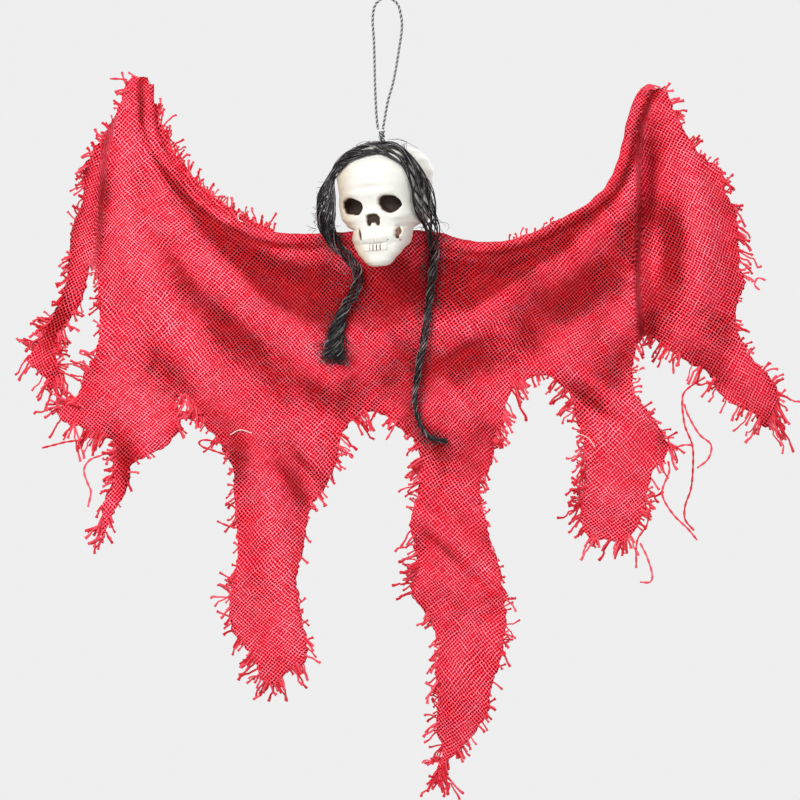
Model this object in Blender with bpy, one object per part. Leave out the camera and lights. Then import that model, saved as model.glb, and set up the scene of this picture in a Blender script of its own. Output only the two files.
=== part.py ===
"""Hanging fabric ghost: a torn gauze robe rolled over a bent wire, a plastic skull, hair and a cord loop.

Units are metres and +Z is up. The figure faces -Y, and the origin is the top inside of its hanging loop,
which is where whatever carries it touches the cord. Everything below is built down from that point.
"""

import math

import bmesh
import bpy
from mathutils import Matrix, Vector
from mathutils.bvhtree import BVHTree
from mathutils.geometry import delaunay_2d_cdt

MM = 0.001

# Hanging cord and its knot
CORD_DIAMETER = 1.5 * MM
LOOP_DROP = 65.0 * MM
LOOP_OPENING = 14.5 * MM
CORD_POINT_SPACING = 4.0 * MM
KNOT_DIAMETER = 3.8 * MM

# Skull: the cranium stands on its base, and the jaw hangs below it in front
SKULL_WIDTH = 46.0 * MM
SKULL_DEPTH = 54.0 * MM
CRANIUM_HEIGHT = 41.5 * MM
JAW_DROP = 19.0 * MM
SOCKET_WIDTH = 10.4 * MM
SOCKET_HEIGHT = 8.8 * MM
SOCKET_DEPTH = 7.0 * MM
SOCKET_SPACING = 19.2 * MM
SOCKET_ABOVE_BASE = 13.0 * MM
NOSE_WIDTH = 5.2 * MM
NOSE_HEIGHT = 6.8 * MM
NOSE_DEPTH = 2.4 * MM
NOSE_ABOVE_BASE = 5.2 * MM
CHEEK_SPACING = 25.0 * MM
CHEEK_DEPTH = 1.6 * MM
CHEEK_BELOW_BASE = 3.0 * MM
MOUTH_WIDTH = 15.0 * MM
MOUTH_DEPTH = 0.8 * MM
MOUTH_BELOW_BASE = 7.8 * MM
SKULL_RIGHT = 1.5 * MM
SKULL_YAW = math.radians(19)
SKULL_ROLL = math.radians(5)

# Hair: one hank of fibre laid over the crown, with a lock hanging on each side
HAIR_THICKNESS = 2.6 * MM
BAND_WIDTH = 12.0 * MM
BAND_FORWARD = 3.0 * MM
LEFT_LOCK_WIDTH = 6.4 * MM
RIGHT_LOCK_WIDTH = 5.6 * MM
LOCK_THICKNESS = 4.4 * MM
LEFT_LOCK_DROP = 84.0 * MM
RIGHT_LOCK_DROP = 111.0 * MM

# Arm wire: a wide U with a closed eye at each tip
WIRE_DIAMETER = 1.5 * MM
LEFT_SPAN = 118.5 * MM
LEFT_RISE = 75.5 * MM
RIGHT_SPAN = 130.5 * MM
RIGHT_RISE = 72.5 * MM
EYE_RADIUS = 3.4 * MM
WIRE_BACK = 9.0 * MM
WIRE_POINT_SPACING = 7.0 * MM

# Robe
CLOTH_THICKNESS = 0.8 * MM
ROLL_EASE = 0.4 * MM
HEM_WIDTH = 8.0 * MM
CLOTH_GRID = 8.0 * MM
FLAP_DROP = 168.0 * MM
STRIP_C_DROP = 226.5 * MM
STRIP_B_DROP = 275.0 * MM
STRIP_A_DROP = 227.0 * MM
LEFT_TAIL_DROP = 231.0 * MM
BACK_STRIP_DROP = 156.0 * MM
FOLD_HEIGHT = 2.6 * MM
STRIP_FOLD_HEIGHT = 1.8 * MM
LONG_FOLD_PITCH = 27.0 * MM
SLANT_FOLD_PITCH = 24.0 * MM
CHEST_HOLLOW_DEPTH = 2.5 * MM
CHEST_HOLLOW_DROP = 45.0 * MM
CREASE_DEPTH = 1.1 * MM
CREASE_DROP = 5.5 * MM
TURN_WIDTH = 4.8 * MM
BACK_STRIP_SETBACK = 13.0 * MM
FLAP_SETBACK = 14.0 * MM

# Swags that fan out from each eye: sag in degrees per millimetre, then first ridge and pitch in degrees
LEFT_SWAGS = (0.23, 92, 18)
RIGHT_SWAGS = (0.28, 91, 20)

# Hot-melt joints
NECK_GLUE_SIZE = (16.0 * MM, 8.0 * MM, 7.0 * MM)
NECK_GLUE_LIFT = 1.2 * MM
TIP_GLUE_SIZE = (9.0 * MM, 4.0 * MM, 8.0 * MM)

# Clearances between pieces that touch on the real one
SEAT_GAP = 0.3 * MM
HAIR_GAP = 0.6 * MM
PUSH_REACH = 12.0 * MM

# Places that follow from the sizes above, from the loop down to the wire's middle
KNOT_Z = -LOOP_DROP - SEAT_GAP - KNOT_DIAMETER / 2
CROWN_Z = KNOT_Z - KNOT_DIAMETER / 2 - SEAT_GAP - HAIR_THICKNESS - HAIR_GAP
SKULL_BASE_Z = CROWN_Z - CRANIUM_HEIGHT
ROLL_RADIUS = WIRE_DIAMETER / 2 + ROLL_EASE + CLOTH_THICKNESS / 2
TILT_DROP = math.sin(SKULL_ROLL) * SKULL_WIDTH / 3
WIRE_Z = SKULL_BASE_Z - TILT_DROP - SEAT_GAP - CLOTH_THICKNESS / 2 - ROLL_RADIUS
WIRE_MIDDLE = Vector((0.0, WIRE_BACK, WIRE_Z))
SKULL_SEAT = Vector((SKULL_RIGHT, 0.0, SKULL_BASE_Z))
CROWN = SKULL_SEAT + Vector((-math.sin(SKULL_ROLL) * CRANIUM_HEIGHT, 0, CRANIUM_HEIGHT))

# Finishes: base colour, roughness, metallic
FINISHES = {
    "gauze": ((0.62, 0.02, 0.045), 0.9, 0.0),
    "ivory_plastic": ((0.86, 0.83, 0.72), 0.45, 0.0),
    "charcoal_fibre": ((0.022, 0.019, 0.021), 0.7, 0.0),
    "twisted_cord": ((0.03, 0.03, 0.032), 0.6, 0.0),
    "steel_wire": ((0.35, 0.35, 0.36), 0.35, 1.0),
    "hot_melt": ((0.85, 0.82, 0.74), 0.25, 0.0),
}

# The wire's arms, from its middle outwards: millimetres to the side and up, in each arm's own proportions
LEFT_ARM = [(-23, -0.5), (-43, -1.5), (-60.5, 0.5), (-73.5, 5.5), (-86.5, 12.8), (-98.5, 22.8),
            (-107.5, 34), (-114, 45.5), (-117.5, 57), (-118, 67), (-118.5, 75.5)]
RIGHT_ARM = [(22, 0), (39.5, -4.5), (53.5, -5.5), (62, -4.5), (74.5, -0.5), (87, 5.8), (100, 13),
             (111, 22.5), (117, 34), (121, 49.5), (123.5, 60.5), (126.5, 68), (130.5, 72.5)]

# The robe's torn edge in stretches, each as millimetres to the side of its anchor and below it
RIGHT_FLAP = [(1.5, -3), (6, -3), (9, 1), (14.5, 13), (21.5, 25.5), (30, 33), (36, 37), (38, 46), (42, 54),
              (45, 63), (47, 71.5), (47.5, 79), (46.5, 86.5), (48, 96.5), (45.5, 104), (43, 113),
              (44.5, 120.5), (50, 129.5), (56.5, 137), (61.5, 143), (65.5, 150), (66.5, 156.5), (62.5, 164),
              (56.5, 168), (49, 161.5), (41.5, 156.5), (33, 149.5), (27, 141.5), (20, 136), (14, 132),
              (6.5, 129), (0, 123), (-4.5, 122)]
STRIP_C = [(-7.5, 128), (-9, 136.5), (-9, 146), (-5, 154), (1.5, 162.5), (8, 171), (11.5, 175.5), (8, 182),
           (1.5, 188), (-0.5, 196), (-1, 204), (-4.5, 212.5), (-9, 220.5), (-14, 226.5), (-23.5, 225.5),
           (-31, 224), (-36, 218), (-38.5, 211.5), (-40, 204), (-37, 197.5), (-35, 191), (-37, 181.5),
           (-36, 174), (-37, 167.5), (-42, 160), (-44.5, 152.5), (-47, 146), (-51, 141.5), (-56, 140.5),
           (-62, 144)]
STRIP_B = [(66, 80), (61, 88), (57, 101.5), (53, 116), (48, 125), (49, 136.5), (52.5, 153), (58, 170.5),
           (61.5, 189.5), (60, 201), (57, 217), (53.5, 230.5), (50.5, 240.5), (41, 254), (33.5, 264),
           (25, 275), (23.5, 265.5), (26, 258), (24, 245.5), (24, 229), (22, 217), (25, 205.5), (23.5, 198),
           (18, 188), (12, 180.5), (10.5, 173), (12, 161.5), (10.5, 148), (13.5, 134.5), (14.5, 125.5),
           (13, 118.5), (15, 111.5), (14, 105.5), (9.5, 99.5), (4.5, 95.5)]
STRIP_A = [(-2, 91.5), (-8, 89.5), (-13, 95.5), (-18, 103), (-23, 112), (-26.5, 120.5), (-30.5, 128),
           (-37.5, 135), (-39, 145.5), (-41.5, 157.5), (-44.5, 168.5), (-44, 179), (-41.5, 191), (-39, 203),
           (-38, 212), (-41.5, 217), (-49, 220.5), (-55.5, 227), (-64, 224.5), (-68, 217), (-73, 205.5),
           (-79, 197), (-82, 188), (-81, 179), (-76, 169), (-74, 159.5), (-75, 148), (-76.5, 135.5),
           (-77, 123), (-77.5, 115), (-82, 108), (-87, 101.5), (-93, 94)]
LEFT_LOBE = [(24.5, 164), (20.5, 156.5), (18.5, 158), (20, 170), (14.5, 178.5), (3.5, 185.5), (-4, 190),
             (-5, 196), (-8, 205), (-13, 214), (-16.5, 223), (-20, 231), (-22.5, 220.5), (-21.5, 212),
             (-18.5, 203), (-16, 194.5), (-15.5, 185.5), (-15.5, 179.5), (-23, 178), (-30.5, 177),
             (-39.5, 172), (-44.5, 164), (-41.5, 158), (-34.5, 153), (-31.5, 144.5), (-29.5, 136.5),
             (-24, 129), (-22.5, 120.5), (-22.5, 108), (-23, 98)]
BACK_STRIP = [(-25, 90), (-27, 95.5), (-28.5, 103), (-30.5, 112), (-35, 118.5), (-40, 127.5), (-41, 133.5),
              (-39.5, 140), (-38.5, 145.5), (-43.5, 151.5), (-46.5, 156), (-49.5, 150.5), (-53.5, 145),
              (-59.5, 139), (-58.5, 133), (-55, 126.5), (-50.5, 119), (-43.5, 109.5), (-39, 97.5),
              (-38, 85.5), (-35.5, 69.5), (-31, 59), (-30, 41), (-25.5, 33), (-19, 23), (-15, 17), (-11, 8),
              (-10, 2), (-7, -3), (-0.5, -4), (3, -3.5)]

# Lines where the cloth turns sharply back, from an eye down: beyond each one it hangs further from the viewer
LEFT_TURN = [(-14.5, 17), (-18.5, 33), (-20, 48), (-21.5, 63.5), (-22.5, 81), (-25, 92), (-26, 108),
             (-33, 130), (-37, 148), (-46, 160), (-62, 174)]
RIGHT_TURN = [(-2.5, 7), (-5.5, 19), (-7, 34), (-6, 54), (-7.5, 79), (-8, 96), (-6, 114), (-5, 124),
              (4, 134), (22, 144), (40, 160), (62, 182)]

# Skull rings from the chin up: height, half width, front, back and squareness, in their own proportions
SKULL_RINGS = [(0.0, 3.5, -21.0, -16.0, 2.0), (0.8, 5.6, -22.6, -14.5, 2.0), (2.5, 7.4, -23.6, -13.0, 2.2),
               (7.0, 11.2, -24.0, -8.0, 2.3), (11.0, 13.8, -23.4, 0.0, 2.6), (14.0, 14.6, -24.4, 1.5, 2.8),
               (17.5, 15.0, -24.2, 2.5, 2.8), (19.0, 15.6, -24.0, 10.0, 2.6), (21.0, 19.0, -24.0, 20.5, 2.5),
               (25.0, 20.8, -24.4, 24.0, 2.5), (30.0, 20.6, -23.8, 26.0, 2.5), (36.0, 20.9, -25.2, 27.0, 2.5),
               (41.0, 22.3, -25.6, 27.4, 2.4), (46.0, 23.0, -25.0, 27.0, 2.4), (51.0, 21.8, -22.6, 25.2, 2.3),
               (55.5, 18.4, -18.6, 21.5, 2.2), (58.5, 13.2, -13.0, 16.0, 2.1), (60.0, 8.0, -7.5, 10.5, 2.0),
               (60.5, 3.0, -1.5, 5.0, 2.0)]
RING_BASE_HEIGHT = 19.0
SKULL_SEGMENTS = 34
SKULL_FACE_SHARE = 0.5
SKULL_RING_COUNT = 34

# Cord: millimetres to the side of the loop's middle and down from its top, for each leg
LEFT_LEG = [(-5.2, 2.8), (-6.6, 10.5), (-6, 21), (-5.7, 31.5), (-5.5, 42), (-5, 54.5), (-4.5, 62),
            (-3.9, 66.5)]
RIGHT_LEG = [(5.5, 2.2), (7.6, 9), (7.9, 15.5), (6.7, 24.5), (5.3, 33.5), (3.5, 43), (1, 52), (-0.6, 61),
             (-1.6, 66.5)]

# Hair centre lines: millimetres to the side and down from the crown, with the lock's width as a share
LEFT_LOCK = [(-26, 16, 1.2), (-27.5, 27, 1.3), (-29, 38, 1.1), (-27.5, 46, 1.0), (-22, 52.5, 1.0),
             (-15.5, 58.5, 1.0), (-12, 64.5, 1.0), (-12.5, 72, 1.0), (-16.5, 78.5, 1.0), (-21, 86, 1.0),
             (-23.5, 93, 1.1), (-24.5, 99.5, 1.6), (-25, 106, 2.4)]
RIGHT_LOCK = [(21, 18, 1.8), (23, 27, 1.6), (23.5, 35.5, 1.2), (25, 42, 1.2), (25.5, 52, 1.3), (25, 63, 1.3),
              (24, 73.5, 1.1), (22, 86, 0.9), (20, 97.5, 1.0), (18.5, 110, 0.9), (16.5, 122.5, 0.8),
              (16, 131.5, 0.75), (18.5, 139, 0.75), (23.5, 144.5, 0.6), (32, 146, 0.45)]
CROWN_ARC = [(-20.5, 7), (-12.5, 1.5), (0, -0.5), (11.5, 2), (18, 9.5)]
HAIR_STATION_SPACING = 3.4 * MM
HAIR_SIDES = 8


def make_material(name):
    """Returns the finish of this name as a Principled material."""
    colour, roughness, metallic = FINISHES[name]
    material = bpy.data.materials.new(name)
    material.use_nodes = True
    shader = material.node_tree.nodes["Principled BSDF"]
    shader.inputs["Base Color"].default_value = (*colour, 1.0)
    shader.inputs["Roughness"].default_value = roughness
    shader.inputs["Metallic"].default_value = metallic
    return material


def add_mesh(name, vertices, faces, finish):
    """Adds a smooth mesh object with its faces pointing out."""
    mesh = bpy.data.meshes.new(name)
    mesh.from_pydata([tuple(v) for v in vertices], [], faces)
    shell = bmesh.new()
    shell.from_mesh(mesh)
    bmesh.ops.recalc_face_normals(shell, faces=shell.faces)
    shell.to_mesh(mesh)
    shell.free()
    mesh.shade_smooth()
    mesh.materials.append(make_material(finish))
    piece = bpy.data.objects.new(name, mesh)
    bpy.context.scene.collection.objects.link(piece)
    return piece


def tube_faces(rings, sides):
    """Returns the faces of a closed tube whose rings hold this many points each."""
    faces = []
    for first in range(0, (rings - 1) * sides, sides):
        for side in range(sides):
            after = (side + 1) % sides
            faces.append([first + side, first + after, first + sides + after, first + sides + side])
    last = (rings - 1) * sides
    return [*faces, list(range(sides)), list(range(last, last + sides))]


def add_tube(name, points, diameter, finish):
    """Adds a round tube with filled caps through these points."""
    curve = bpy.data.curves.new(name, "CURVE")
    curve.dimensions = "3D"
    curve.bevel_depth = diameter / 2
    curve.bevel_resolution = 2
    curve.use_fill_caps = True
    spline = curve.splines.new("POLY")
    spline.points.add(len(points) - 1)
    for slot, point in zip(spline.points, points):
        slot.co = (*point, 1.0)
    curve.materials.append(make_material(finish))
    piece = bpy.data.objects.new(name, curve)
    bpy.context.scene.collection.objects.link(piece)
    return piece


def ramp(low, high, value):
    """Returns 0 at low and 1 at high, with a smooth rise between them."""
    share = min(max((value - low) / (high - low), 0.0), 1.0)
    return share * share * (3 - 2 * share)


def bump(value, width):
    """Returns a bell of height 1 that has faded to nothing at twice this width."""
    return math.exp(-2 * (value / width) ** 2)


def smooth_curve(points, spacing):
    """Returns points at this spacing along a smooth curve through the given ones."""
    ends = [2 * points[0] - points[1], *points, 2 * points[-1] - points[-2]]
    fine = []
    steps = 12
    for before, start, end, after in zip(ends, ends[1:], ends[2:], ends[3:]):
        for step in range(steps):
            t = step / steps
            square = 2 * before - 5 * start + 4 * end - after
            cube = 3 * start - before - 3 * end + after
            fine.append(0.5 * (2 * start + (end - before) * t + square * t**2 + cube * t**3))
    fine.append(points[-1].copy())
    lengths = [0.0]
    for start, end in zip(fine, fine[1:]):
        lengths.append(lengths[-1] + (end - start).length)
    count = max(2, round(lengths[-1] / spacing))
    spaced, index = [fine[0]], 0
    for step in range(1, count):
        target = lengths[-1] * step / count
        while lengths[index + 1] < target:
            index += 1
        share = (target - lengths[index]) / (lengths[index + 1] - lengths[index])
        spaced.append(fine[index].lerp(fine[index + 1], share))
    return [*spaced, fine[-1]]


def arm_points(proportions, span, rise):
    """Returns an arm's points from the wire's middle, its tip at this span and rise."""
    tip_x, tip_z = proportions[-1]
    return [WIRE_MIDDLE + Vector((x / abs(tip_x) * span, 0, z / tip_z * rise)) for x, z in proportions]


def hung(anchor, drop, proportions):
    """Returns a stretch of the robe's edge in the XZ plane, its lowest point this far below the anchor."""
    lowest = max(below for _, below in proportions)
    return [Vector((anchor.x + x * MM, anchor.z - below / lowest * drop)) for x, below in proportions]


def wire_route():
    """Returns the wire's centre line from the left tip to the right one, without its eyes."""
    left = arm_points(LEFT_ARM, LEFT_SPAN, LEFT_RISE)
    right = arm_points(RIGHT_ARM, RIGHT_SPAN, RIGHT_RISE)
    return smooth_curve([*reversed(left), WIRE_MIDDLE, *right], WIRE_POINT_SPACING)


def upper_side(route, index):
    """Returns the unit vector that points away from the cloth at this point of the wire."""
    along = (route[min(index + 1, len(route) - 1)] - route[max(index - 1, 0)]).normalized()
    return Vector((-along.z, 0, along.x))


def eye_centres(route):
    """Returns the centres of the left and the right eye, which curl to the cloth's side of the wire."""
    return (route[0] - upper_side(route, 0) * EYE_RADIUS,
            route[-1] - upper_side(route, len(route) - 1) * EYE_RADIUS)


def eye_turn(centre, tip, turn):
    """Returns the points of an eye, which turns almost full circle from the wire's tip."""
    arm = tip - centre
    steps = 12
    opening = math.radians(50)
    return [centre + Matrix.Rotation(turn * step / steps * (2 * math.pi - opening), 3, "Y") @ arm
            for step in range(1, steps + 1)]


def build_arm_wire(route):
    """Builds the bent wire with its two eyes."""
    left_eye, right_eye = eye_centres(route)
    left = eye_turn(left_eye, route[0], -1)
    right = eye_turn(right_eye, route[-1], 1)
    return add_tube("arm_wire", [*reversed(left), *route, *right], WIRE_DIAMETER, "steel_wire")


def distance_to(line, point):
    """Returns how far a point lies from a line of points, and on which side: plus is on its left."""
    nearest, side = math.inf, 1.0
    for start, end in zip(line, line[1:]):
        along, out = end - start, point - start
        share = min(max(out.dot(along) / along.length_squared, 0.0), 1.0)
        gap = (out - along * share).length
        if gap < nearest - 1e-9:
            nearest, side = gap, along.x * out.y - along.y * out.x
    return nearest, math.copysign(1.0, side)


class Drape:
    """The robe's shape in depth: where its middle layer lies for any place in front view."""

    def __init__(self, route):
        self.left_eye, self.right_eye = eye_centres(route)
        self.roll = [Vector((p.x, p.z)) for p in route]
        self.left_turn = hung(self.left_eye, max(z for _, z in LEFT_TURN) * MM, LEFT_TURN)
        self.right_turn = hung(self.right_eye, max(z for _, z in RIGHT_TURN) * MM, RIGHT_TURN)

    def swags(self, place, eye, side, fan):
        """Returns the folds that fan out from an eye and sag towards the middle, from -1 to 1."""
        sag, ridge, pitch = fan
        across, below = side * (place.x - eye.x), eye.z - place.y
        reach = math.hypot(across, below)
        angle = math.degrees(math.atan2(below, across)) + sag * reach / MM
        return math.cos(2 * math.pi * (angle - ridge) / pitch) * ramp(10 * MM, 70 * MM, reach)

    def strip_folds(self, place):
        """Returns the lengthwise and slanting folds of the hanging strips, from -1 to 1."""
        low = ramp(80 * MM, 120 * MM, WIRE_Z - place.y)
        slant = math.cos(2 * math.pi * (0.62 * place.x + 0.78 * place.y) / SLANT_FOLD_PITCH + 0.8)
        along = math.cos(2 * math.pi * (place.x + 0.18 * place.y + 22 * MM) / LONG_FOLD_PITCH)
        right = ramp(-10 * MM, 10 * MM, place.x)
        return low * (slant * right + along * (1 - right))

    def folds(self, place):
        """Returns how far the folds bring the cloth forward at this place."""
        left = ramp(20 * MM, -35 * MM, place.x) * self.swags(place, self.left_eye, 1, LEFT_SWAGS)
        right = ramp(0.0, 45 * MM, place.x) * self.swags(place, self.right_eye, -1, RIGHT_SWAGS)
        upper = 1 - ramp(90 * MM, 150 * MM, WIRE_Z - place.y)
        return FOLD_HEIGHT * (left + right) * upper + STRIP_FOLD_HEIGHT * self.strip_folds(place)

    def set_back(self, place):
        """Returns how far the cloth beyond the two turns hangs behind the rest at this place."""
        gap, side = distance_to(self.left_turn, place)
        back_strip = ramp(-TURN_WIDTH / 2, TURN_WIDTH / 2, -side * gap) * BACK_STRIP_SETBACK
        gap, side = distance_to(self.right_turn, place)
        out = side * gap
        swell = 1 - 0.85 * ramp(3 * MM, 20 * MM, out) + 0.35 * ramp(26 * MM, 50 * MM, out)
        flap = ramp(-TURN_WIDTH / 2, TURN_WIDTH / 2, out) * FLAP_SETBACK * swell
        return (back_strip * ramp(12 * MM, 60 * MM, self.left_eye.z - place.y)
                + flap * ramp(5 * MM, 50 * MM, self.right_eye.z - place.y))

    def depth(self, place):
        """Returns the Y of the cloth's middle layer at this place, given as X and Z."""
        below_roll, _ = distance_to(self.roll, place)
        below_wire = place.y - (WIRE_Z - CHEST_HOLLOW_DROP)
        hollow = CHEST_HOLLOW_DEPTH * bump(place.x - 4 * MM, 60 * MM) * bump(below_wire, CHEST_HOLLOW_DROP)
        depth = hollow - self.folds(place) + self.set_back(place)
        under_skull = bump(place.x - SKULL_RIGHT, 34 * MM) * bump(place.y - WIRE_Z, 40 * MM)
        depth = depth * (1 - under_skull)
        crease = CREASE_DEPTH * bump(below_roll - CREASE_DROP, 3 * MM)
        from_eye = min((place - Vector((eye.x, eye.z))).length for eye in (self.left_eye, self.right_eye))
        clear_of_eye = ramp(EYE_RADIUS + 3 * MM, EYE_RADIUS + 14 * MM, from_eye)
        return WIRE_BACK - ROLL_RADIUS + (depth * ramp(3 * MM, 18 * MM, below_roll) + crease) * clear_of_eye


def robe_edge(drape):
    """Returns the robe's torn edge from the right tip round to the left one."""
    right, left = drape.right_eye, drape.left_eye
    return [*hung(right, FLAP_DROP, RIGHT_FLAP), *hung(right, STRIP_C_DROP, STRIP_C),
            *hung(WIRE_MIDDLE, STRIP_B_DROP, STRIP_B), *hung(WIRE_MIDDLE, STRIP_A_DROP, STRIP_A),
            *hung(left, LEFT_TAIL_DROP, LEFT_LOBE), *hung(left, BACK_STRIP_DROP, BACK_STRIP)]


def grid_points(outline, spacing):
    """Returns staggered rows of points inside an outline, none closer to it than half the spacing."""
    low_x, high_x = min(p.x for p in outline), max(p.x for p in outline)
    low_z, high_z = min(p.y for p in outline), max(p.y for p in outline)
    closed = [*outline, outline[0]]
    row_height = spacing * math.sqrt(3) / 2
    points = []
    for row in range(int((high_z - low_z) / row_height) + 1):
        for column in range(int((high_x - low_x) / spacing) + 1):
            place = Vector((low_x + (column + row % 2 / 2) * spacing, low_z + row * row_height))
            if distance_to(closed, place)[0] > spacing / 2 and winding(closed, place):
                points.append(place)
    return points


def winding(closed, place):
    """Tells whether a place lies inside a closed line of points."""
    inside = False
    for start, end in zip(closed, closed[1:]):
        if (start.y > place.y) != (end.y > place.y):
            crossing = start.x + (place.y - start.y) / (end.y - start.y) * (end.x - start.x)
            inside ^= place.x < crossing
    return inside


def turn_points(turn, outline):
    """Returns pairs of points on both sides of a turn line, where they lie well inside the outline."""
    closed = [*outline, outline[0]]
    line = smooth_curve([Vector((p.x, p.y, 0)) for p in turn], CLOTH_GRID * 0.8)
    points = []
    for index, place in enumerate(line):
        along = (line[min(index + 1, len(line) - 1)] - line[max(index - 1, 0)]).normalized()
        for side in (-TURN_WIDTH / 2, TURN_WIDTH / 2):
            spot = Vector((place.x - along.y * side, place.y + along.x * side))
            if distance_to(closed, spot)[0] > 1.5 * MM and winding(closed, spot):
                points.append(spot)
    return points


def build_robe(route, drape):
    """Builds the robe as one sheet: its front, then the roll over the wire and the hem behind it."""
    outline = [Vector((p.x, p.z)) for p in route] + robe_edge(drape)
    turns = turn_points(drape.left_turn, outline) + turn_points(drape.right_turn, outline)
    inner = [p for p in grid_points(outline, CLOTH_GRID)
             if all((p - spot).length > CLOTH_GRID / 2 for spot in turns)]
    places = [*outline, *turns, *inner]
    flat, _, faces, _, _, _ = delaunay_2d_cdt(places, [], [list(range(len(outline)))], 1, 1e-7)
    vertices = [Vector((p.x, drape.depth(p), p.y)) for p in flat]
    rows = [list(range(len(route)))]
    turns_over = [(math.radians(angle), 0.0) for angle in (45, 90, 135, 180)]
    for angle, lowered in [*turns_over, (math.pi, HEM_WIDTH / 2), (math.pi, HEM_WIDTH)]:
        row = []
        for index, point in enumerate(route):
            up = upper_side(route, index)
            row.append(len(vertices))
            vertices.append(point + up * (math.sin(angle) * ROLL_RADIUS - lowered)
                            + Vector((0, -math.cos(angle) * ROLL_RADIUS, 0)))
        rows.append(row)
    faces = [list(face) for face in faces]
    for lower, upper in zip(rows, rows[1:]):
        for a, b, c, d in zip(lower, lower[1:], upper[1:], upper):
            faces.append([a, b, c, d])
    robe = add_mesh("robe", vertices, faces, "gauze")
    wall = robe.modifiers.new("cloth thickness", "SOLIDIFY")
    wall.thickness = CLOTH_THICKNESS
    wall.offset = 0.0
    return robe


def skull_ring(height):
    """Returns half width, front, back and squareness at a height in the rings' own millimetres."""
    for low, high in zip(SKULL_RINGS, SKULL_RINGS[1:]):
        if height <= high[0]:
            share = (height - low[0]) / (high[0] - low[0])
            share = share * share * (3 - 2 * share) * 0.5 + share * 0.5
            return [a + (b - a) * share for a, b in zip(low[1:], high[1:])]
    return list(SKULL_RINGS[-1][1:])


def face_hollow(x, above_base):
    """Returns how far the face is sunk at a place, for its sockets, nose, cheeks and mouth."""
    eye = 0.0
    for side in (-1, 1):
        across = (x - side * SOCKET_SPACING / 2) / (SOCKET_WIDTH / 2)
        up = (above_base - SOCKET_ABOVE_BASE) / (SOCKET_HEIGHT / 2)
        eye += SOCKET_DEPTH * ramp(1.2, 0.7, math.hypot(across, up))
    up = (above_base - NOSE_ABOVE_BASE) / (NOSE_HEIGHT / 2)
    nose = NOSE_DEPTH * ramp(1.4, 0.5, math.hypot(x / (NOSE_WIDTH / 2), up))
    cheek = CHEEK_DEPTH * bump(abs(x) - CHEEK_SPACING / 2, 3 * MM)
    cheek *= bump(above_base + CHEEK_BELOW_BASE, 5 * MM)
    mouth = MOUTH_DEPTH * bump(above_base + MOUTH_BELOW_BASE, 0.9 * MM)
    return eye + nose + cheek + mouth * ramp(MOUTH_WIDTH * 0.6, MOUTH_WIDTH * 0.4, abs(x))


def skull_point(turn, height):
    """Returns a point of the skull in its own frame, from its turn round from the face and its height."""
    level = height * SKULL_RINGS[-1][0]
    half_width, front, back, squareness = skull_ring(level)
    widest = max(ring[1] for ring in SKULL_RINGS)
    deepest = max(ring[3] for ring in SKULL_RINGS) - min(ring[2] for ring in SKULL_RINGS)
    across = math.copysign(abs(math.sin(turn)) ** (2 / squareness), math.sin(turn))
    ahead = math.copysign(abs(math.cos(turn)) ** (2 / squareness), math.cos(turn))
    middle = (front + back) / 2
    x = across * half_width / widest * SKULL_WIDTH / 2
    y = (middle - ahead * (back - front) / 2) / deepest * SKULL_DEPTH
    if level < RING_BASE_HEIGHT:
        z = (level / RING_BASE_HEIGHT - 1) * JAW_DROP
    else:
        z = (level - RING_BASE_HEIGHT) / (SKULL_RINGS[-1][0] - RING_BASE_HEIGHT) * CRANIUM_HEIGHT
    if ahead > 0:
        y += face_hollow(x, z) * ramp(0.0, 0.6, ahead)
    return Vector((x, y, z))


def skull_placing():
    """Returns the matrix that seats the skull on the rolled cloth, turned and tilted as it hangs."""
    turned = Matrix.Rotation(-SKULL_YAW, 4, "Z")
    tilted = Matrix.Rotation(-SKULL_ROLL, 4, "Y")
    return Matrix.Translation(SKULL_SEAT) @ tilted @ turned


def build_skull():
    """Builds the skull from rings between the chin and the crown, closed at both ends."""
    placing = skull_placing()
    vertices = []
    for ring in range(SKULL_RING_COUNT):
        for segment in range(SKULL_SEGMENTS):
            turn = 2 * math.pi * segment / SKULL_SEGMENTS
            face_turn = turn - SKULL_FACE_SHARE * math.sin(turn)
            vertices.append(placing @ skull_point(face_turn, ring / (SKULL_RING_COUNT - 1)))
    return add_mesh("skull", vertices, tube_faces(SKULL_RING_COUNT, SKULL_SEGMENTS), "ivory_plastic")


def surface_of(piece):
    """Returns a search tree over the piece's finished surface."""
    graph = bpy.context.evaluated_depsgraph_get()
    graph.update()
    finished = piece.evaluated_get(graph)
    mesh = finished.to_mesh()
    mesh.transform(piece.matrix_world)
    shape = bmesh.new()
    shape.from_mesh(mesh)
    tree = BVHTree.FromBMesh(shape)
    shape.free()
    finished.to_mesh_clear()
    return tree


def pushed_out(point, surfaces, gap):
    """Returns the point, moved clear of any of these surfaces that it reaches into."""
    for surface in surfaces:
        spot, normal, _, distance = surface.find_nearest(point)
        if (point - spot).dot(normal) < gap and distance < PUSH_REACH:
            point = spot + normal * gap
    return point


def lock_points(proportions, drop):
    """Returns a lock's centre line with its width shares, its end this far below the skull's base."""
    end = proportions[-1][1]
    start = CRANIUM_HEIGHT / MM
    points = []
    for x, below, share in proportions:
        lowered = below * MM if below < start else (start + (below - start) / (end - start) * drop / MM) * MM
        points.append((Vector((x * MM, 0, -lowered)) + CROWN, share))
    return points


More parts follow.
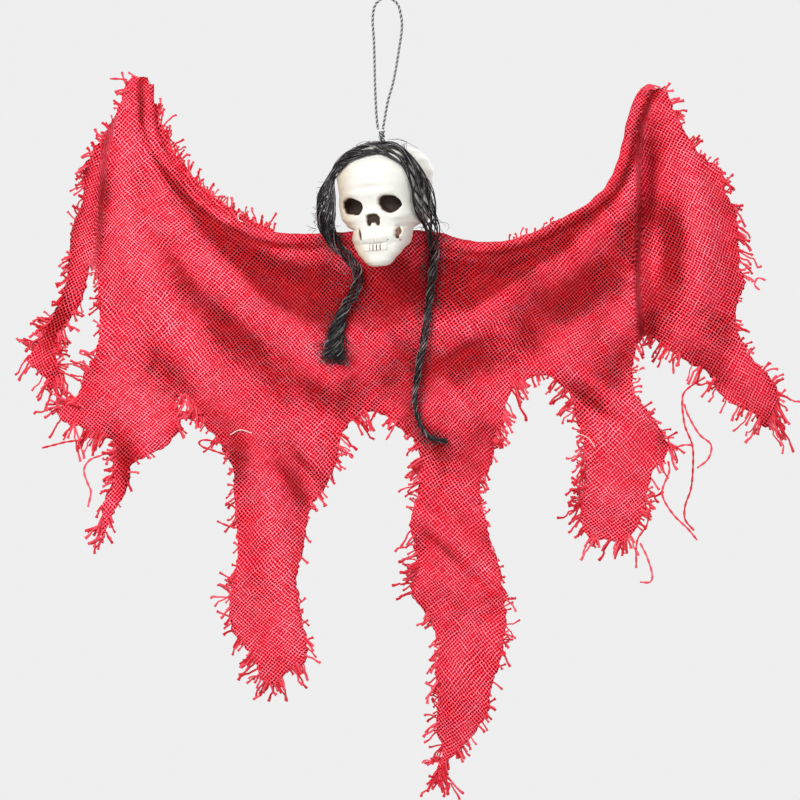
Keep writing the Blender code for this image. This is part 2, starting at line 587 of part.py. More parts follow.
def hair_route():
    """Returns the hank's centre line from the left lock's end over the crown to the right lock's end."""
    left = [(p, LEFT_LOCK_WIDTH * share, LOCK_THICKNESS)
            for p, share in lock_points(LEFT_LOCK, LEFT_LOCK_DROP)]
    right = [(p, RIGHT_LOCK_WIDTH * share, LOCK_THICKNESS)
             for p, share in lock_points(RIGHT_LOCK, RIGHT_LOCK_DROP)]
    crown = [(CROWN + Vector((x * MM, -BAND_FORWARD, -down * MM)), BAND_WIDTH, HAIR_THICKNESS)
             for x, down in CROWN_ARC]
    return [*reversed(left), *crown, *right]


def size_at(route, point):
    """Returns the hank's width and thickness at a point, from the two nearest points of its route."""
    gaps = [(place - point).length for place, _, _ in route]
    nearest = gaps.index(min(gaps))
    other = min((i for i in (nearest - 1, nearest + 1) if 0 <= i < len(route)), key=lambda i: gaps[i])
    share = gaps[nearest] / (gaps[nearest] + gaps[other])
    return [a + (b - a) * share for a, b in zip(route[nearest][1:], route[other][1:])]


def laid_station(point, thick, skull_surface, robe_surface):
    """Returns a station's place on the skull or on the cloth, and the way that it faces."""
    spot, normal, _, _ = skull_surface.find_nearest(point)
    out = (point - spot).dot(normal)
    seated = spot + normal * (thick / 2 + HAIR_GAP)
    if out < thick / 2 + HAIR_GAP:
        point = seated
    point = point.lerp(seated, ramp(8 * MM, 20 * MM, point.z - SKULL_BASE_Z))
    hit = robe_surface.ray_cast(Vector((point.x, -SKULL_DEPTH, point.z)), Vector((0, 1, 0)))[0]
    if hit and point.z < SKULL_BASE_Z + 3 * MM:
        point.y = hit.y - thick / 2 - HAIR_GAP
    near_skull = 1 - ramp(2 * MM, 9 * MM, out)
    return point, (normal * near_skull + Vector((0, -1, 0)) * (1 - near_skull)).normalized()


def build_hair(skull, robe):
    """Builds the hair as one tapering hank that follows the skull and then lies on the cloth."""
    surfaces = (surface_of(skull), surface_of(robe))
    route = hair_route()
    stations = []
    for point in smooth_curve([place.copy() for place, _, _ in route], HAIR_STATION_SPACING):
        width, thick = size_at(route, point)
        stations.append((*laid_station(point, thick, *surfaces), width, thick))
    vertices = []
    for index, (point, facing, width, thick) in enumerate(stations):
        along = stations[min(index + 1, len(stations) - 1)][0] - stations[max(index - 1, 0)][0]
        across = along.cross(facing).normalized() * width / 2
        outward = across.cross(along).normalized() * thick / 2
        rounding = 0.55 if index in (0, len(stations) - 1) else 1.0
        for side in range(HAIR_SIDES):
            turn = 2 * math.pi * side / HAIR_SIDES
            spot = point + rounding * (across * math.cos(turn) + outward * math.sin(turn))
            vertices.append(pushed_out(spot, surfaces, HAIR_GAP))
    return add_mesh("hair", vertices, tube_faces(len(stations), HAIR_SIDES), "charcoal_fibre")


def leg_points(proportions):
    """Returns one leg of the loop, from its top to the knot."""
    lowest = proportions[-1][1]
    widest = max(abs(x) for x, _ in LEFT_LEG) + max(abs(x) for x, _ in RIGHT_LEG)
    return [Vector((x / widest * LOOP_OPENING, CROWN.y * z / lowest, -z / lowest * LOOP_DROP))
            for x, z in proportions]


def build_cord():
    """Builds the loop: up its left leg, over the top and down its right leg to the knot."""
    top = Vector((0, 0, CORD_DIAMETER / 2))
    route = [*reversed(leg_points(LEFT_LEG)), top, *leg_points(RIGHT_LEG)]
    return add_tube("hanging_cord", smooth_curve(route, CORD_POINT_SPACING), CORD_DIAMETER, "twisted_cord")


def build_knot(cord_end_x):
    """Builds the knot that ties both ends of the cord, a squat ball on the hair at the crown."""
    shape = bmesh.new()
    bmesh.ops.create_uvsphere(shape, u_segments=14, v_segments=9, radius=KNOT_DIAMETER / 2)
    bmesh.ops.translate(shape, verts=shape.verts, vec=(cord_end_x, CROWN.y, KNOT_Z))
    mesh = bpy.data.meshes.new("cord_knot")
    shape.to_mesh(mesh)
    shape.free()
    mesh.shade_smooth()
    mesh.materials.append(make_material("twisted_cord"))
    knot = bpy.data.objects.new("cord_knot", mesh)
    bpy.context.scene.collection.objects.link(knot)
    return knot


def build_glue(name, centre, size, surfaces):
    """Builds a blob of hot-melt that fills in against the pieces that it joins."""
    shape = bmesh.new()
    bmesh.ops.create_icosphere(shape, subdivisions=2, radius=0.5)
    vertices = [pushed_out(centre + Vector(v.co[i] * size[i] for i in range(3)), surfaces, SEAT_GAP)
                for v in shape.verts]
    faces = [[v.index for v in face.verts] for face in shape.faces]
    shape.free()
    return add_mesh(name, vertices, faces, "hot_melt")


def build_joints(drape, skull):
    """Builds the glue behind the neck and the glue behind the cloth at each arm's tip."""
    behind_roll = ROLL_RADIUS + CLOTH_THICKNESS / 2 + SEAT_GAP
    neck = Vector((SKULL_RIGHT, WIRE_BACK + behind_roll + NECK_GLUE_SIZE[1] / 2,
                   SKULL_BASE_Z + NECK_GLUE_LIFT - NECK_GLUE_SIZE[2] / 2))
    build_glue("neck_glue", neck, NECK_GLUE_SIZE, (surface_of(skull),))
    for name, eye in (("left_tip_glue", drape.left_eye), ("right_tip_glue", drape.right_eye)):
        build_glue(name, eye + Vector((0, behind_roll + TIP_GLUE_SIZE[1] / 2, 0)), TIP_GLUE_SIZE, ())


def main():
    """Clears the scene and builds every piece."""
    for old in list(bpy.data.objects):
        bpy.data.objects.remove(old, do_unlink=True)
    route = wire_route()
    drape = Drape(route)
    build_arm_wire(route)
    robe = build_robe(route, drape)
    skull = build_skull()
    build_hair(skull, robe)
    build_cord()
    build_knot(CROWN.x)
    build_joints(drape, skull)


main()
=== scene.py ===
"""Hanging fabric ghost, dressed: torn gauze robe, skull, hank of hair, twisted cord, bent wire and glue.

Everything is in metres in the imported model's frame: +Z is up, the figure faces -Y, and the origin is the top
inside of its hanging loop. The cloth, the skull, the hair and the cord follow the same routes as the solids.
Places written in front view are (across, down) in half millimetres, from a corner up and left of the loop.
"""

import logging
import math
from dataclasses import dataclass
from enum import Enum
from typing import Any, Mapping, Optional, Sequence, Union

import bmesh
import bpy
import numpy as np
from mathutils import Matrix, Vector
from mathutils.bvhtree import BVHTree
from mathutils.geometry import delaunay_2d_cdt


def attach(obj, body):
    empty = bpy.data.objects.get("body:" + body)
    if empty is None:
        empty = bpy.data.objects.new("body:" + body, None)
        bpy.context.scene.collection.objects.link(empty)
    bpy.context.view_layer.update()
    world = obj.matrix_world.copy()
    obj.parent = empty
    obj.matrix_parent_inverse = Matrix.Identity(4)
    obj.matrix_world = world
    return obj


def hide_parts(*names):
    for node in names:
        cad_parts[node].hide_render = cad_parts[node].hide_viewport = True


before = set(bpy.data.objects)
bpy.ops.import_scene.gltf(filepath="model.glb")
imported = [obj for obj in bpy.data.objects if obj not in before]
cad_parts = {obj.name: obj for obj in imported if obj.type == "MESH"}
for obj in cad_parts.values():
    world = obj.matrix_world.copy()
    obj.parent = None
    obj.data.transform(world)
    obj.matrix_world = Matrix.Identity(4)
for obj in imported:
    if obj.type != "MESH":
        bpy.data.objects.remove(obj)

LOG = logging.getLogger("ghost")
MM = 0.001
STEP = 0.0005  # metres to one unit of a front-view place
LOOP_ACROSS = 386.0  # where the top of the loop lies across the front view
GAP_BATCH = 4000  # places that line_gap measures at a time
PER_METRE = 1000  # the cloth is triangulated in millimetres
RAY_START_Y = -0.08  # in front of every piece
BACKWARDS = Vector((0, 1, 0))
FULL_TURN = 2 * math.pi

Rows = np.ndarray
Piece = bpy.types.Object
Material = bpy.types.Material
Socket = bpy.types.NodeSocket
Pair = tuple[float, float]
Triple = tuple[float, float, float]
Colour = Triple
Line = Sequence[Pair]


# ---------------------------------------------------------------- numbers that the solids share

CORD_DIAMETER = 1.5 * MM
LOOP_DROP = 65.0 * MM
LOOP_OPENING = 14.5 * MM
KNOT_DIAMETER = 3.8 * MM
SKULL_WIDTH = 46.0 * MM
SKULL_DEPTH = 54.0 * MM
CRANIUM_HEIGHT = 41.5 * MM
JAW_DROP = 19.0 * MM
SKULL_RIGHT = 1.5 * MM
SKULL_YAW = math.radians(19)
SKULL_ROLL = math.radians(5)
HAIR_THICKNESS = 2.6 * MM
HAIR_GAP = 0.6 * MM
WIRE_DIAMETER = 1.5 * MM
WIRE_BACK = 9.0 * MM
EYE_RADIUS = 3.4 * MM
CLOTH_THICKNESS = 0.8 * MM
ROLL_RADIUS = WIRE_DIAMETER / 2 + 0.4 * MM + CLOTH_THICKNESS / 2
SEAT_GAP = 0.3 * MM
KNOT_Z = -LOOP_DROP - SEAT_GAP - KNOT_DIAMETER / 2
CROWN_Z = KNOT_Z - KNOT_DIAMETER / 2 - SEAT_GAP - HAIR_THICKNESS - HAIR_GAP
SKULL_BASE_Z = CROWN_Z - CRANIUM_HEIGHT
WIRE_Z = SKULL_BASE_Z - math.sin(SKULL_ROLL) * SKULL_WIDTH / 3 - SEAT_GAP - CLOTH_THICKNESS / 2 - ROLL_RADIUS
WIRE_MIDDLE = np.array((0.0, WIRE_BACK, WIRE_Z))
SKULL_SEAT = Vector((SKULL_RIGHT, 0.0, SKULL_BASE_Z))
CROWN = SKULL_SEAT + Vector((-math.sin(SKULL_ROLL) * CRANIUM_HEIGHT, 0, CRANIUM_HEIGHT))

LEFT_ARM = [(-23, -0.5), (-43, -1.5), (-60.5, 0.5), (-73.5, 5.5), (-86.5, 12.8), (-98.5, 22.8),
            (-107.5, 34), (-114, 45.5), (-117.5, 57), (-118, 67), (-118.5, 75.5)]
RIGHT_ARM = [(22, 0), (39.5, -4.5), (53.5, -5.5), (62, -4.5), (74.5, -0.5), (87, 5.8), (100, 13),
             (111, 22.5), (117, 34), (121, 49.5), (123.5, 60.5), (126.5, 68), (130.5, 72.5)]
RIGHT_FLAP = [(1.5, -3), (6, -3), (9, 1), (14.5, 13), (21.5, 25.5), (30, 33), (36, 37), (38, 46), (42, 54),
              (45, 63), (47, 71.5), (47.5, 79), (46.5, 86.5), (48, 96.5), (45.5, 104), (43, 113),
              (44.5, 120.5), (50, 129.5), (56.5, 137), (61.5, 143), (65.5, 150), (66.5, 156.5), (62.5, 164),
              (56.5, 168), (49, 161.5), (41.5, 156.5), (33, 149.5), (27, 141.5), (20, 136), (14, 132),
              (6.5, 129), (0, 123), (-4.5, 122)]
STRIP_C = [(-7.5, 128), (-9, 136.5), (-9, 146), (-5, 154), (1.5, 162.5), (8, 171), (11.5, 175.5), (8, 182),
           (1.5, 188), (-0.5, 196), (-1, 204), (-4.5, 212.5), (-9, 220.5), (-14, 226.5), (-23.5, 225.5),
           (-31, 224), (-36, 218), (-38.5, 211.5), (-40, 204), (-37, 197.5), (-35, 191), (-37, 181.5),
           (-36, 174), (-37, 167.5), (-42, 160), (-44.5, 152.5), (-47, 146), (-51, 141.5), (-56, 140.5),
           (-62, 144)]
STRIP_B = [(66, 80), (61, 88), (57, 101.5), (53, 116), (48, 125), (49, 136.5), (52.5, 153), (58, 170.5),
           (61.5, 189.5), (60, 201), (57, 217), (53.5, 230.5), (50.5, 240.5), (41, 254), (33.5, 264),
           (25, 275), (23.5, 265.5), (26, 258), (24, 245.5), (24, 229), (22, 217), (25, 205.5), (23.5, 198),
           (18, 188), (12, 180.5), (10.5, 173), (12, 161.5), (10.5, 148), (13.5, 134.5), (14.5, 125.5),
           (13, 118.5), (15, 111.5), (14, 105.5), (9.5, 99.5), (4.5, 95.5)]
STRIP_A = [(-2, 91.5), (-8, 89.5), (-13, 95.5), (-18, 103), (-23, 112), (-26.5, 120.5), (-30.5, 128),
           (-37.5, 135), (-39, 145.5), (-41.5, 157.5), (-44.5, 168.5), (-44, 179), (-41.5, 191), (-39, 203),
           (-38, 212), (-41.5, 217), (-49, 220.5), (-55.5, 227), (-64, 224.5), (-68, 217), (-73, 205.5),
           (-79, 197), (-82, 188), (-81, 179), (-76, 169), (-74, 159.5), (-75, 148), (-76.5, 135.5),
           (-77, 123), (-77.5, 115), (-82, 108), (-87, 101.5), (-93, 94)]
LEFT_LOBE = [(24.5, 164), (20.5, 156.5), (18.5, 158), (20, 170), (14.5, 178.5), (3.5, 185.5), (-4, 190),
             (-5, 196), (-8, 205), (-13, 214), (-16.5, 223), (-20, 231), (-22.5, 220.5), (-21.5, 212),
             (-18.5, 203), (-16, 194.5), (-15.5, 185.5), (-15.5, 179.5), (-23, 178), (-30.5, 177),
             (-39.5, 172), (-44.5, 164), (-41.5, 158), (-34.5, 153), (-31.5, 144.5), (-29.5, 136.5),
             (-24, 129), (-22.5, 120.5), (-22.5, 108), (-23, 98)]
BACK_STRIP = [(-25, 90), (-27, 95.5), (-28.5, 103), (-30.5, 112), (-35, 118.5), (-40, 127.5), (-41, 133.5),
              (-39.5, 140), (-38.5, 145.5), (-43.5, 151.5), (-46.5, 156), (-49.5, 150.5), (-53.5, 145),
              (-59.5, 139), (-58.5, 133), (-55, 126.5), (-50.5, 119), (-43.5, 109.5), (-39, 97.5),
              (-38, 85.5), (-35.5, 69.5), (-31, 59), (-30, 41), (-25.5, 33), (-19, 23), (-15, 17), (-11, 8),
              (-10, 2), (-7, -3), (-0.5, -4), (3, -3.5)]
LEFT_TURN = [(-14.5, 17), (-18.5, 33), (-20, 48), (-21.5, 63.5), (-22.5, 81), (-25, 92), (-26, 108),
             (-33, 130), (-37, 148), (-46, 160), (-62, 174)]
RIGHT_TURN = [(-2.5, 7), (-5.5, 19), (-7, 34), (-6, 54), (-7.5, 79), (-8, 96), (-6, 114), (-5, 124),
              (4, 134), (22, 144), (40, 160), (62, 182)]
SKULL_RINGS = [(0.0, 3.5, -21.0, -16.0, 2.0), (0.8, 5.6, -22.6, -14.5, 2.0), (2.5, 7.4, -23.6, -13.0, 2.2),
               (7.0, 11.2, -24.0, -8.0, 2.3), (11.0, 13.8, -23.4, 0.0, 2.6), (14.0, 14.6, -24.4, 1.5, 2.8),
               (17.5, 15.0, -24.2, 2.5, 2.8), (19.0, 15.6, -24.0, 10.0, 2.6), (21.0, 19.0, -24.0, 20.5, 2.5),
               (25.0, 20.8, -24.4, 24.0, 2.5), (30.0, 20.6, -23.8, 26.0, 2.5), (36.0, 20.9, -25.2, 27.0, 2.5),
               (41.0, 22.3, -25.6, 27.4, 2.4), (46.0, 23.0, -25.0, 27.0, 2.4), (51.0, 21.8, -22.6, 25.2, 2.3),
               (55.5, 18.4, -18.6, 21.5, 2.2), (58.5, 13.2, -13.0, 16.0, 2.1), (60.0, 8.0, -7.5, 10.5, 2.0),
               (60.5, 3.0, -1.5, 5.0, 2.0)]
LEFT_LEG = [(-5.2, 2.8), (-6.6, 10.5), (-6, 21), (-5.7, 31.5), (-5.5, 42), (-5, 54.5), (-4.5, 62),
            (-3.9, 66.5)]
RIGHT_LEG = [(5.5, 2.2), (7.6, 9), (7.9, 15.5), (6.7, 24.5), (5.3, 33.5), (3.5, 43), (1, 52), (-0.6, 61),
             (-1.6, 66.5)]


# ---------------------------------------------------------------- lines and ramps


def front(across: float, down: float) -> tuple[float, float]:
    """Returns X and Z in metres of a front-view place."""
    return (across - LOOP_ACROSS) * STEP, -down * STEP


def front_line(places: Line) -> Rows:
    """Returns X and Z of several front-view places as an array of rows."""
    return np.array([front(*place) for place in places])


def ramp(low: float, high: float, value: Any) -> Any:
    """Returns 0 where value is at low and 1 at high, which may be the lower one, smoothly between."""
    share = np.clip((value - low) / (high - low), 0.0, 1.0)
    return share * share * (3 - 2 * share)


def bump(value: Any, width: float) -> Any:
    """Returns a bell of height 1 that has faded to nothing at twice this width."""
    return np.exp(-2 * (value / width) ** 2)


def smooth_line(points: Rows, spacing: float) -> Rows:
    """Resamples a line evenly along a smooth curve through its points.

    Args:
        points: rows of coordinates, two or three to a row.
        spacing: distance between the new points.

    Returns:
        The new rows, both ends kept.
    """
    points = np.asarray(points, float)
    ends = np.vstack([2 * points[0] - points[1], points, 2 * points[-1] - points[-2]])
    share = np.linspace(0, 1, 12, endpoint=False)[:, None]
    pieces = []
    for before, start, end, after in zip(ends, ends[1:], ends[2:], ends[3:]):
        square = 2 * before - 5 * start + 4 * end - after
        cube = 3 * start - before - 3 * end + after
        pieces.append(0.5 * (2 * start + (end - before) * share + square * share**2 + cube * share**3))
    return even_line(np.vstack([*pieces, points[-1:]]), spacing)


def distance_along(points: Rows) -> Rows:
    """Returns how far along a line each of its points lies."""
    return np.concatenate([[0], np.cumsum(np.linalg.norm(np.diff(points, axis=0), axis=1))])


def even_line(points: Rows, spacing: float) -> Rows:
    """Resamples a line evenly along its straight segments.

    Args:
        points: rows of coordinates.
        spacing: distance between the new points.

    Returns:
        The new rows, both ends kept.
    """
    lengths = distance_along(points)
    count = max(2, round(lengths[-1] / spacing))
    targets = np.linspace(0, lengths[-1], count + 1)
    return np.stack([np.interp(targets, lengths, points[:, axis]) for axis in range(points.shape[1])], axis=1)


def tangents(points: Rows) -> Rows:
    """Returns the unit direction of a line at each of its points."""
    along = np.gradient(points, axis=0)
    return along / np.maximum(np.linalg.norm(along, axis=1, keepdims=True), 1e-12)


def left_of(along: Rows) -> Rows:
    """Returns the flat directions that lie to the left of flat directions."""
    return np.stack([-along[:, 1], along[:, 0]], axis=1)


def line_gap(line: Rows, places: Rows) -> tuple[Rows, Rows, Rows]:
    """Measures flat places against a flat line of points.

    Args:
        line: rows of X and Z.
        places: rows of X and Z.

    Returns:
        How far each place lies from the line, its side, which is plus on the left, and how far along the
        line its nearest point lies, from 0 to 1.
    """
    start, along = line[:-1], np.diff(line, axis=0)
    reach = np.linalg.norm(along, axis=1)
    total = np.concatenate([[0], np.cumsum(reach)])
    gaps, sides, shares = (np.empty(len(places)) for _ in range(3))
    for first in range(0, len(places), GAP_BATCH):
        part = slice(first, first + GAP_BATCH)
        out = places[part, None, :] - start[None]
        share = np.clip((out * along).sum(2) / np.maximum(reach**2, 1e-18), 0, 1)
        gap = np.linalg.norm(out - along * share[..., None], axis=2)
        best = gap.argmin(1)
        rows = np.arange(len(best))
        cross = along[best, 0] * out[rows, best, 1] - along[best, 1] * out[rows, best, 0]
        gaps[part] = gap[rows, best]
        sides[part] = np.where(cross >= 0, 1.0, -1.0)
        shares[part] = (total[best] + share[rows, best] * reach[best]) / total[-1]
    return gaps, sides, shares


def inside(outline: Rows, places: Rows) -> Rows:
    """Tells which flat places lie inside a closed outline.

    Args:
        outline: rows of X and Z, the first not repeated at the end.
        places: rows of X and Z.

    Returns:
        One truth value to a place.
    """
    found = np.zeros(len(places), bool)
    for start, end in zip(outline, np.roll(outline, -1, axis=0)):
        if start[1] == end[1]:
            continue
        spans = (start[1] > places[:, 1]) != (end[1] > places[:, 1])
        crossing = start[0] + (places[:, 1] - start[1]) / (end[1] - start[1]) * (end[0] - start[0])
        found ^= spans & (places[:, 0] < crossing)
    return found


@dataclass(frozen=True)
class Ripple:
    """Smooth noise over a plane, summed from a few slanting waves."""

    seed: int
    wavelength: float
    waves: int = 7

    def at(self, places: Rows) -> Rows:
        """Reads the noise at places of the plane.

        Args:
            places: rows of X and Z.

        Returns:
            The noise there, from about -1 to 1.
        """
        rng = np.random.default_rng(self.seed)
        total = np.zeros(len(places))
        for _ in range(self.waves):
            turn, phase = rng.uniform(0, FULL_TURN, 2)
            length = self.wavelength * rng.uniform(0.7, 1.5)
            wave = places[:, 0] * math.cos(turn) + places[:, 1] * math.sin(turn)
            total += np.sin(FULL_TURN * wave / length + phase)
        return total / math.sqrt(self.waves)


# ---------------------------------------------------------------- nodes


class Signal:
    """A number that runs through a node tree, written with Python's own operators."""

    def __init__(self, writer: "NodeWriter", socket: Socket) -> None:
        """Wraps a node's output socket."""
        self.writer = writer
        self.socket = socket

    def maths(self, operation: str, *others: "Number") -> "Signal":
        """Returns the result of one Math node on self and its further inputs."""
        values = dict(enumerate((self, *others)))
        return self.writer.signal("ShaderNodeMath", {"operation": operation}, values)

    def __add__(self, other: "Number") -> "Signal":
        """Returns self + other."""
        return self.maths("ADD", other)

    def __mul__(self, other: "Number") -> "Signal":
        """Returns self * other."""
        return self.maths("MULTIPLY", other)

    def __sub__(self, other: "Number") -> "Signal":
        """Returns self - other."""
        return self.maths("SUBTRACT", other)

    def __rsub__(self, other: "Number") -> "Signal":
        """Returns other - self."""
        return self * -1.0 + other

    def __pow__(self, other: "Number") -> "Signal":
        """Returns self raised to other."""
        return self.maths("POWER", other)

    __radd__ = __add__
    __rmul__ = __mul__

    def cosine(self) -> "Signal":
        """Returns the cosine of self in radians."""
        return self.maths("COSINE")

    def at_least(self, other: "Number") -> "Signal":
        """Returns the larger of self and other."""
        return self.maths("MAXIMUM", other)

    def rise(self, low: float, high: float) -> "Signal":
        """Turns the number into a share with a smooth rise.

        Args:
            low: where the share is 0.
            high: where the share is 1, which may be the lower one.

        Returns:
            The share.
        """
        flip = low > high
        low, high = min(low, high), max(low, high)
        made = self.writer.signal("ShaderNodeMapRange", {"interpolation_type": "SMOOTHSTEP"},
                                  {"Value": self, "From Min": low, "From Max": high})
        return 1.0 - made if flip else made


Number = Union[Signal, float, int]
Feed = Union[Signal, Socket, float, int, str, Sequence[float], bpy.types.ID]


class NodeWriter:
    """Adds nodes to one tree."""

    def __init__(self, tree: bpy.types.NodeTree) -> None:
        """Takes the tree to write in."""
        self.tree = tree

    def node(self, kind: str, settings: Optional[Mapping[str, Any]] = None,
             inputs: Optional[Mapping[Union[str, int], Feed]] = None) -> bpy.types.Node:
        """Adds a node.

        Args:
            kind: the node's type.
            settings: its properties, set before its sockets.
            inputs: values or links by socket name or number.

        Returns:
            The node.
        """
        made = self.tree.nodes.new(kind)
        for name, value in (settings or {}).items():
            setattr(made, name, value)
        for key, value in (inputs or {}).items():
            source = value.socket if isinstance(value, Signal) else value
            if isinstance(source, Socket):
                self.tree.links.new(source, made.inputs[key])
            else:
                made.inputs[key].default_value = source
        return made

    def signal(self, kind: str, settings: Optional[Mapping[str, Any]] = None,
               inputs: Optional[Mapping[Union[str, int], Feed]] = None,
               output: Union[str, int] = 0) -> Signal:
        """Returns one output of a new node, wrapped."""
        return Signal(self, self.node(kind, settings, inputs).outputs[output])

    def vector(self, operation: str, *values: Feed) -> Socket:
        """Returns the result of one Vector Math node on its inputs in their order."""
        return self.node("ShaderNodeVectorMath", {"operation": operation}, dict(enumerate(values))).outputs[0]

    def seen(self) -> Signal:
        """Returns 1 for rays that show the studio, straight or in a shiny surface, and 0 for its light."""
        path = self.node("ShaderNodeLightPath").outputs
        camera, glossy, clear = (Signal(self, path[f"Is {kind} Ray"])
                                 for kind in ("Camera", "Glossy", "Transmission"))
        return camera.at_least(glossy).at_least(clear)


class FinishWriter(NodeWriter):
    """Writes one finish around a Principled shader."""

    def __init__(self, name: str) -> None:
        """Makes the material and clears its tree."""
        self.material = bpy.data.materials.new(name)
        self.material.use_nodes = True
        super().__init__(self.material.node_tree)
        self.tree.nodes.clear()

    def place(self) -> Socket:
        """Returns the point of the piece in its own coordinates, in metres."""
        return self.node("ShaderNodeTexCoord").outputs["Object"]

    def attribute(self, name: str, output: str = "Fac") -> Signal:
        """Returns an attribute that the mesh carries."""
        return self.signal("ShaderNodeAttribute", {"attribute_name": name}, output=output)

    def noise(self, where: Feed, scale: float, detail: float = 2.0) -> Signal:
        """Returns smooth noise from 0 to 1, with scale lumps to a unit of the vector."""
        return self.signal("ShaderNodeTexNoise", {"noise_dimensions": "3D"},
                           {"Vector": where, "Scale": scale, "Detail": detail})

    def drift(self, where: Feed, scale: float, detail: float) -> Socket:
        """Returns noise as a colour, which moves each axis its own way."""
        return self.node("ShaderNodeTexNoise", {"noise_dimensions": "3D"},
                         {"Vector": where, "Scale": scale, "Detail": detail}).outputs["Color"]

    def mix(self, share: Number, low: Feed, high: Feed) -> Socket:
        """Returns a mixed colour, the first where share is 0 and the second where it is 1."""
        pair = [(*c, 1.0) if isinstance(c, tuple) else c for c in (low, high)]
        mixed = self.node("ShaderNodeMix", {"data_type": "RGBA"}, {0: share, 6: pair[0], 7: pair[1]})
        return mixed.outputs[2]

    def finish(self, colour: Feed, roughness: Number, height: Optional[Signal] = None, depth: float = 0.0,
               fixed: Optional[Mapping[str, Any]] = None) -> Material:
        """Joins everything in one shader.

        Args:
            colour: base colour.
            roughness: surface roughness.
            height: relief from 0 to 1, if there is any.
            depth: how deep the relief is, in metres.
            fixed: further sockets with one value all over.

        Returns:
            The finished material.
        """
        base = (*colour, 1.0) if isinstance(colour, tuple) else colour
        shader = self.node("ShaderNodeBsdfPrincipled", None,
                           {**(fixed or {}), "Base Color": base, "Roughness": roughness})
        if height is not None:
            relief = self.node("ShaderNodeBump", None, {"Height": height, "Distance": depth, "Strength": 1.0})
            self.tree.links.new(relief.outputs[0], shader.inputs["Normal"])
        self.node("ShaderNodeOutputMaterial", None, {"Surface": shader.outputs[0]})
        return self.material


# ---------------------------------------------------------------- finishes


@dataclass(frozen=True)
class GauzeFinish:
    """Plain-woven cotton gauze: two sets of threads, with painted shade in the open gaps between them, painted
    highlights on the thread crowns, and a shaded and a lit copy of the thread red.
    """

    name: str = "gauze"
    # painted shade in the weave's gaps, where the real gauze is open
    gap: Colour = (0.010, 0.0002, 0.0005)
    # the thread red in painted shade, a shaded copy of the lit thread colour below
    deep: Colour = (0.50, 0.0030, 0.008)
    thread: Colour = (0.94, 0.0120, 0.038)
    # painted highlight on the crowns of the threads
    crown: Colour = (1.0, 0.41, 0.52)
    wander: float = 0.55
    slub: float = 0.34
    relief: float = 0.00034

    def build(self) -> Material:
        """Returns the material, which reads the mesh's weave attribute in threads and its painted light and
        shade from 0 to 1.
        """
        w = FinishWriter(self.name)
        weave = w.attribute("weave", "Vector").socket
        painted_light = w.attribute("painted_light")
        moved = w.vector("MULTIPLY_ADD", w.drift(weave, 0.16, 2.0), (3 * self.wander,) * 3, weave)
        moved = w.vector("MULTIPLY_ADD", w.drift(weave, 0.9, 1.0), (self.slub,) * 3, moved)
        axes = w.node("ShaderNodeSeparateXYZ", None, {0: moved})
        across, along = Signal(w, axes.outputs[0]), Signal(w, axes.outputs[1])
        warp = ((across * FULL_TURN).cosine() + 1) * 0.5
        weft = ((along * FULL_TURN).cosine() + 1) * 0.5
        over = (across * math.pi).cosine() * (along * math.pi).cosine()
        warp_height = warp ** 0.6 * (0.82 + over * 0.18)
        weft_height = weft ** 0.6 * (0.82 - over * 0.18)
        height = warp_height.at_least(weft_height)
        # the painted shade of the gaps spreads where the weave is looser and where the painted light is low
        packed = w.noise(weave, 0.07, 2.0)
        open_share = packed.rise(0.38, 0.56) * 0.4 + 0.6
        gap = (warp.at_least(weft) + painted_light * 0.12).rise(0.74, 0.44) * open_share * (1.15 - painted_light * 0.6)
        # streaks along the threads that place the painted highlight on their crowns
        warp_streak = w.noise(w.vector("MULTIPLY", moved, (1.0, 0.12, 1.0)), 1.3)
        weft_streak = w.noise(w.vector("MULTIPLY", moved, (0.12, 1.0, 1.0)), 1.3)
        streak = w.noise(weave, 1.9, 2.0) * 0.25 + (warp * warp_streak).at_least(weft * weft_streak) * 0.6
        lit = (height + streak).rise(1.12, 1.44)
        # the thread red from its shaded copy to its lit copy, then the painted highlight, then the painted
        # shade of the gaps
        body = w.mix(painted_light.rise(0.0, 0.55), self.deep, self.thread)
        body = w.mix(lit * (0.14 + painted_light * 0.95), body, self.crown)
        colour = w.mix(gap, body, self.gap)
        return w.finish(colour, 0.88, height, self.relief, {"Specular IOR Level": 0.08})


@dataclass(frozen=True)
class ThreadFinish:
    """A loose thread whose colour runs at random from dark to light; on the red threads the light pink is a
    painted highlight.
    """

    name: str = "torn_thread"
    dark: Colour = (0.66, 0.006, 0.018)
    light: Colour = (1.0, 0.12, 0.175)

    def build(self) -> Material:
        """Returns the material, which reads the mesh's tone attribute."""
        w = FinishWriter(self.name)
        grain = w.noise(w.place(), 1400.0, 2.0)
        # random tone, which on the red threads reaches a painted highlight
        tone = (w.attribute("tone") * 0.8 + (grain - 0.5) * 0.9).rise(0.1, 0.95)
        return w.finish(w.mix(tone, self.dark, self.light), 0.9, grain, 0.00015, {"Specular IOR Level": 0.2})


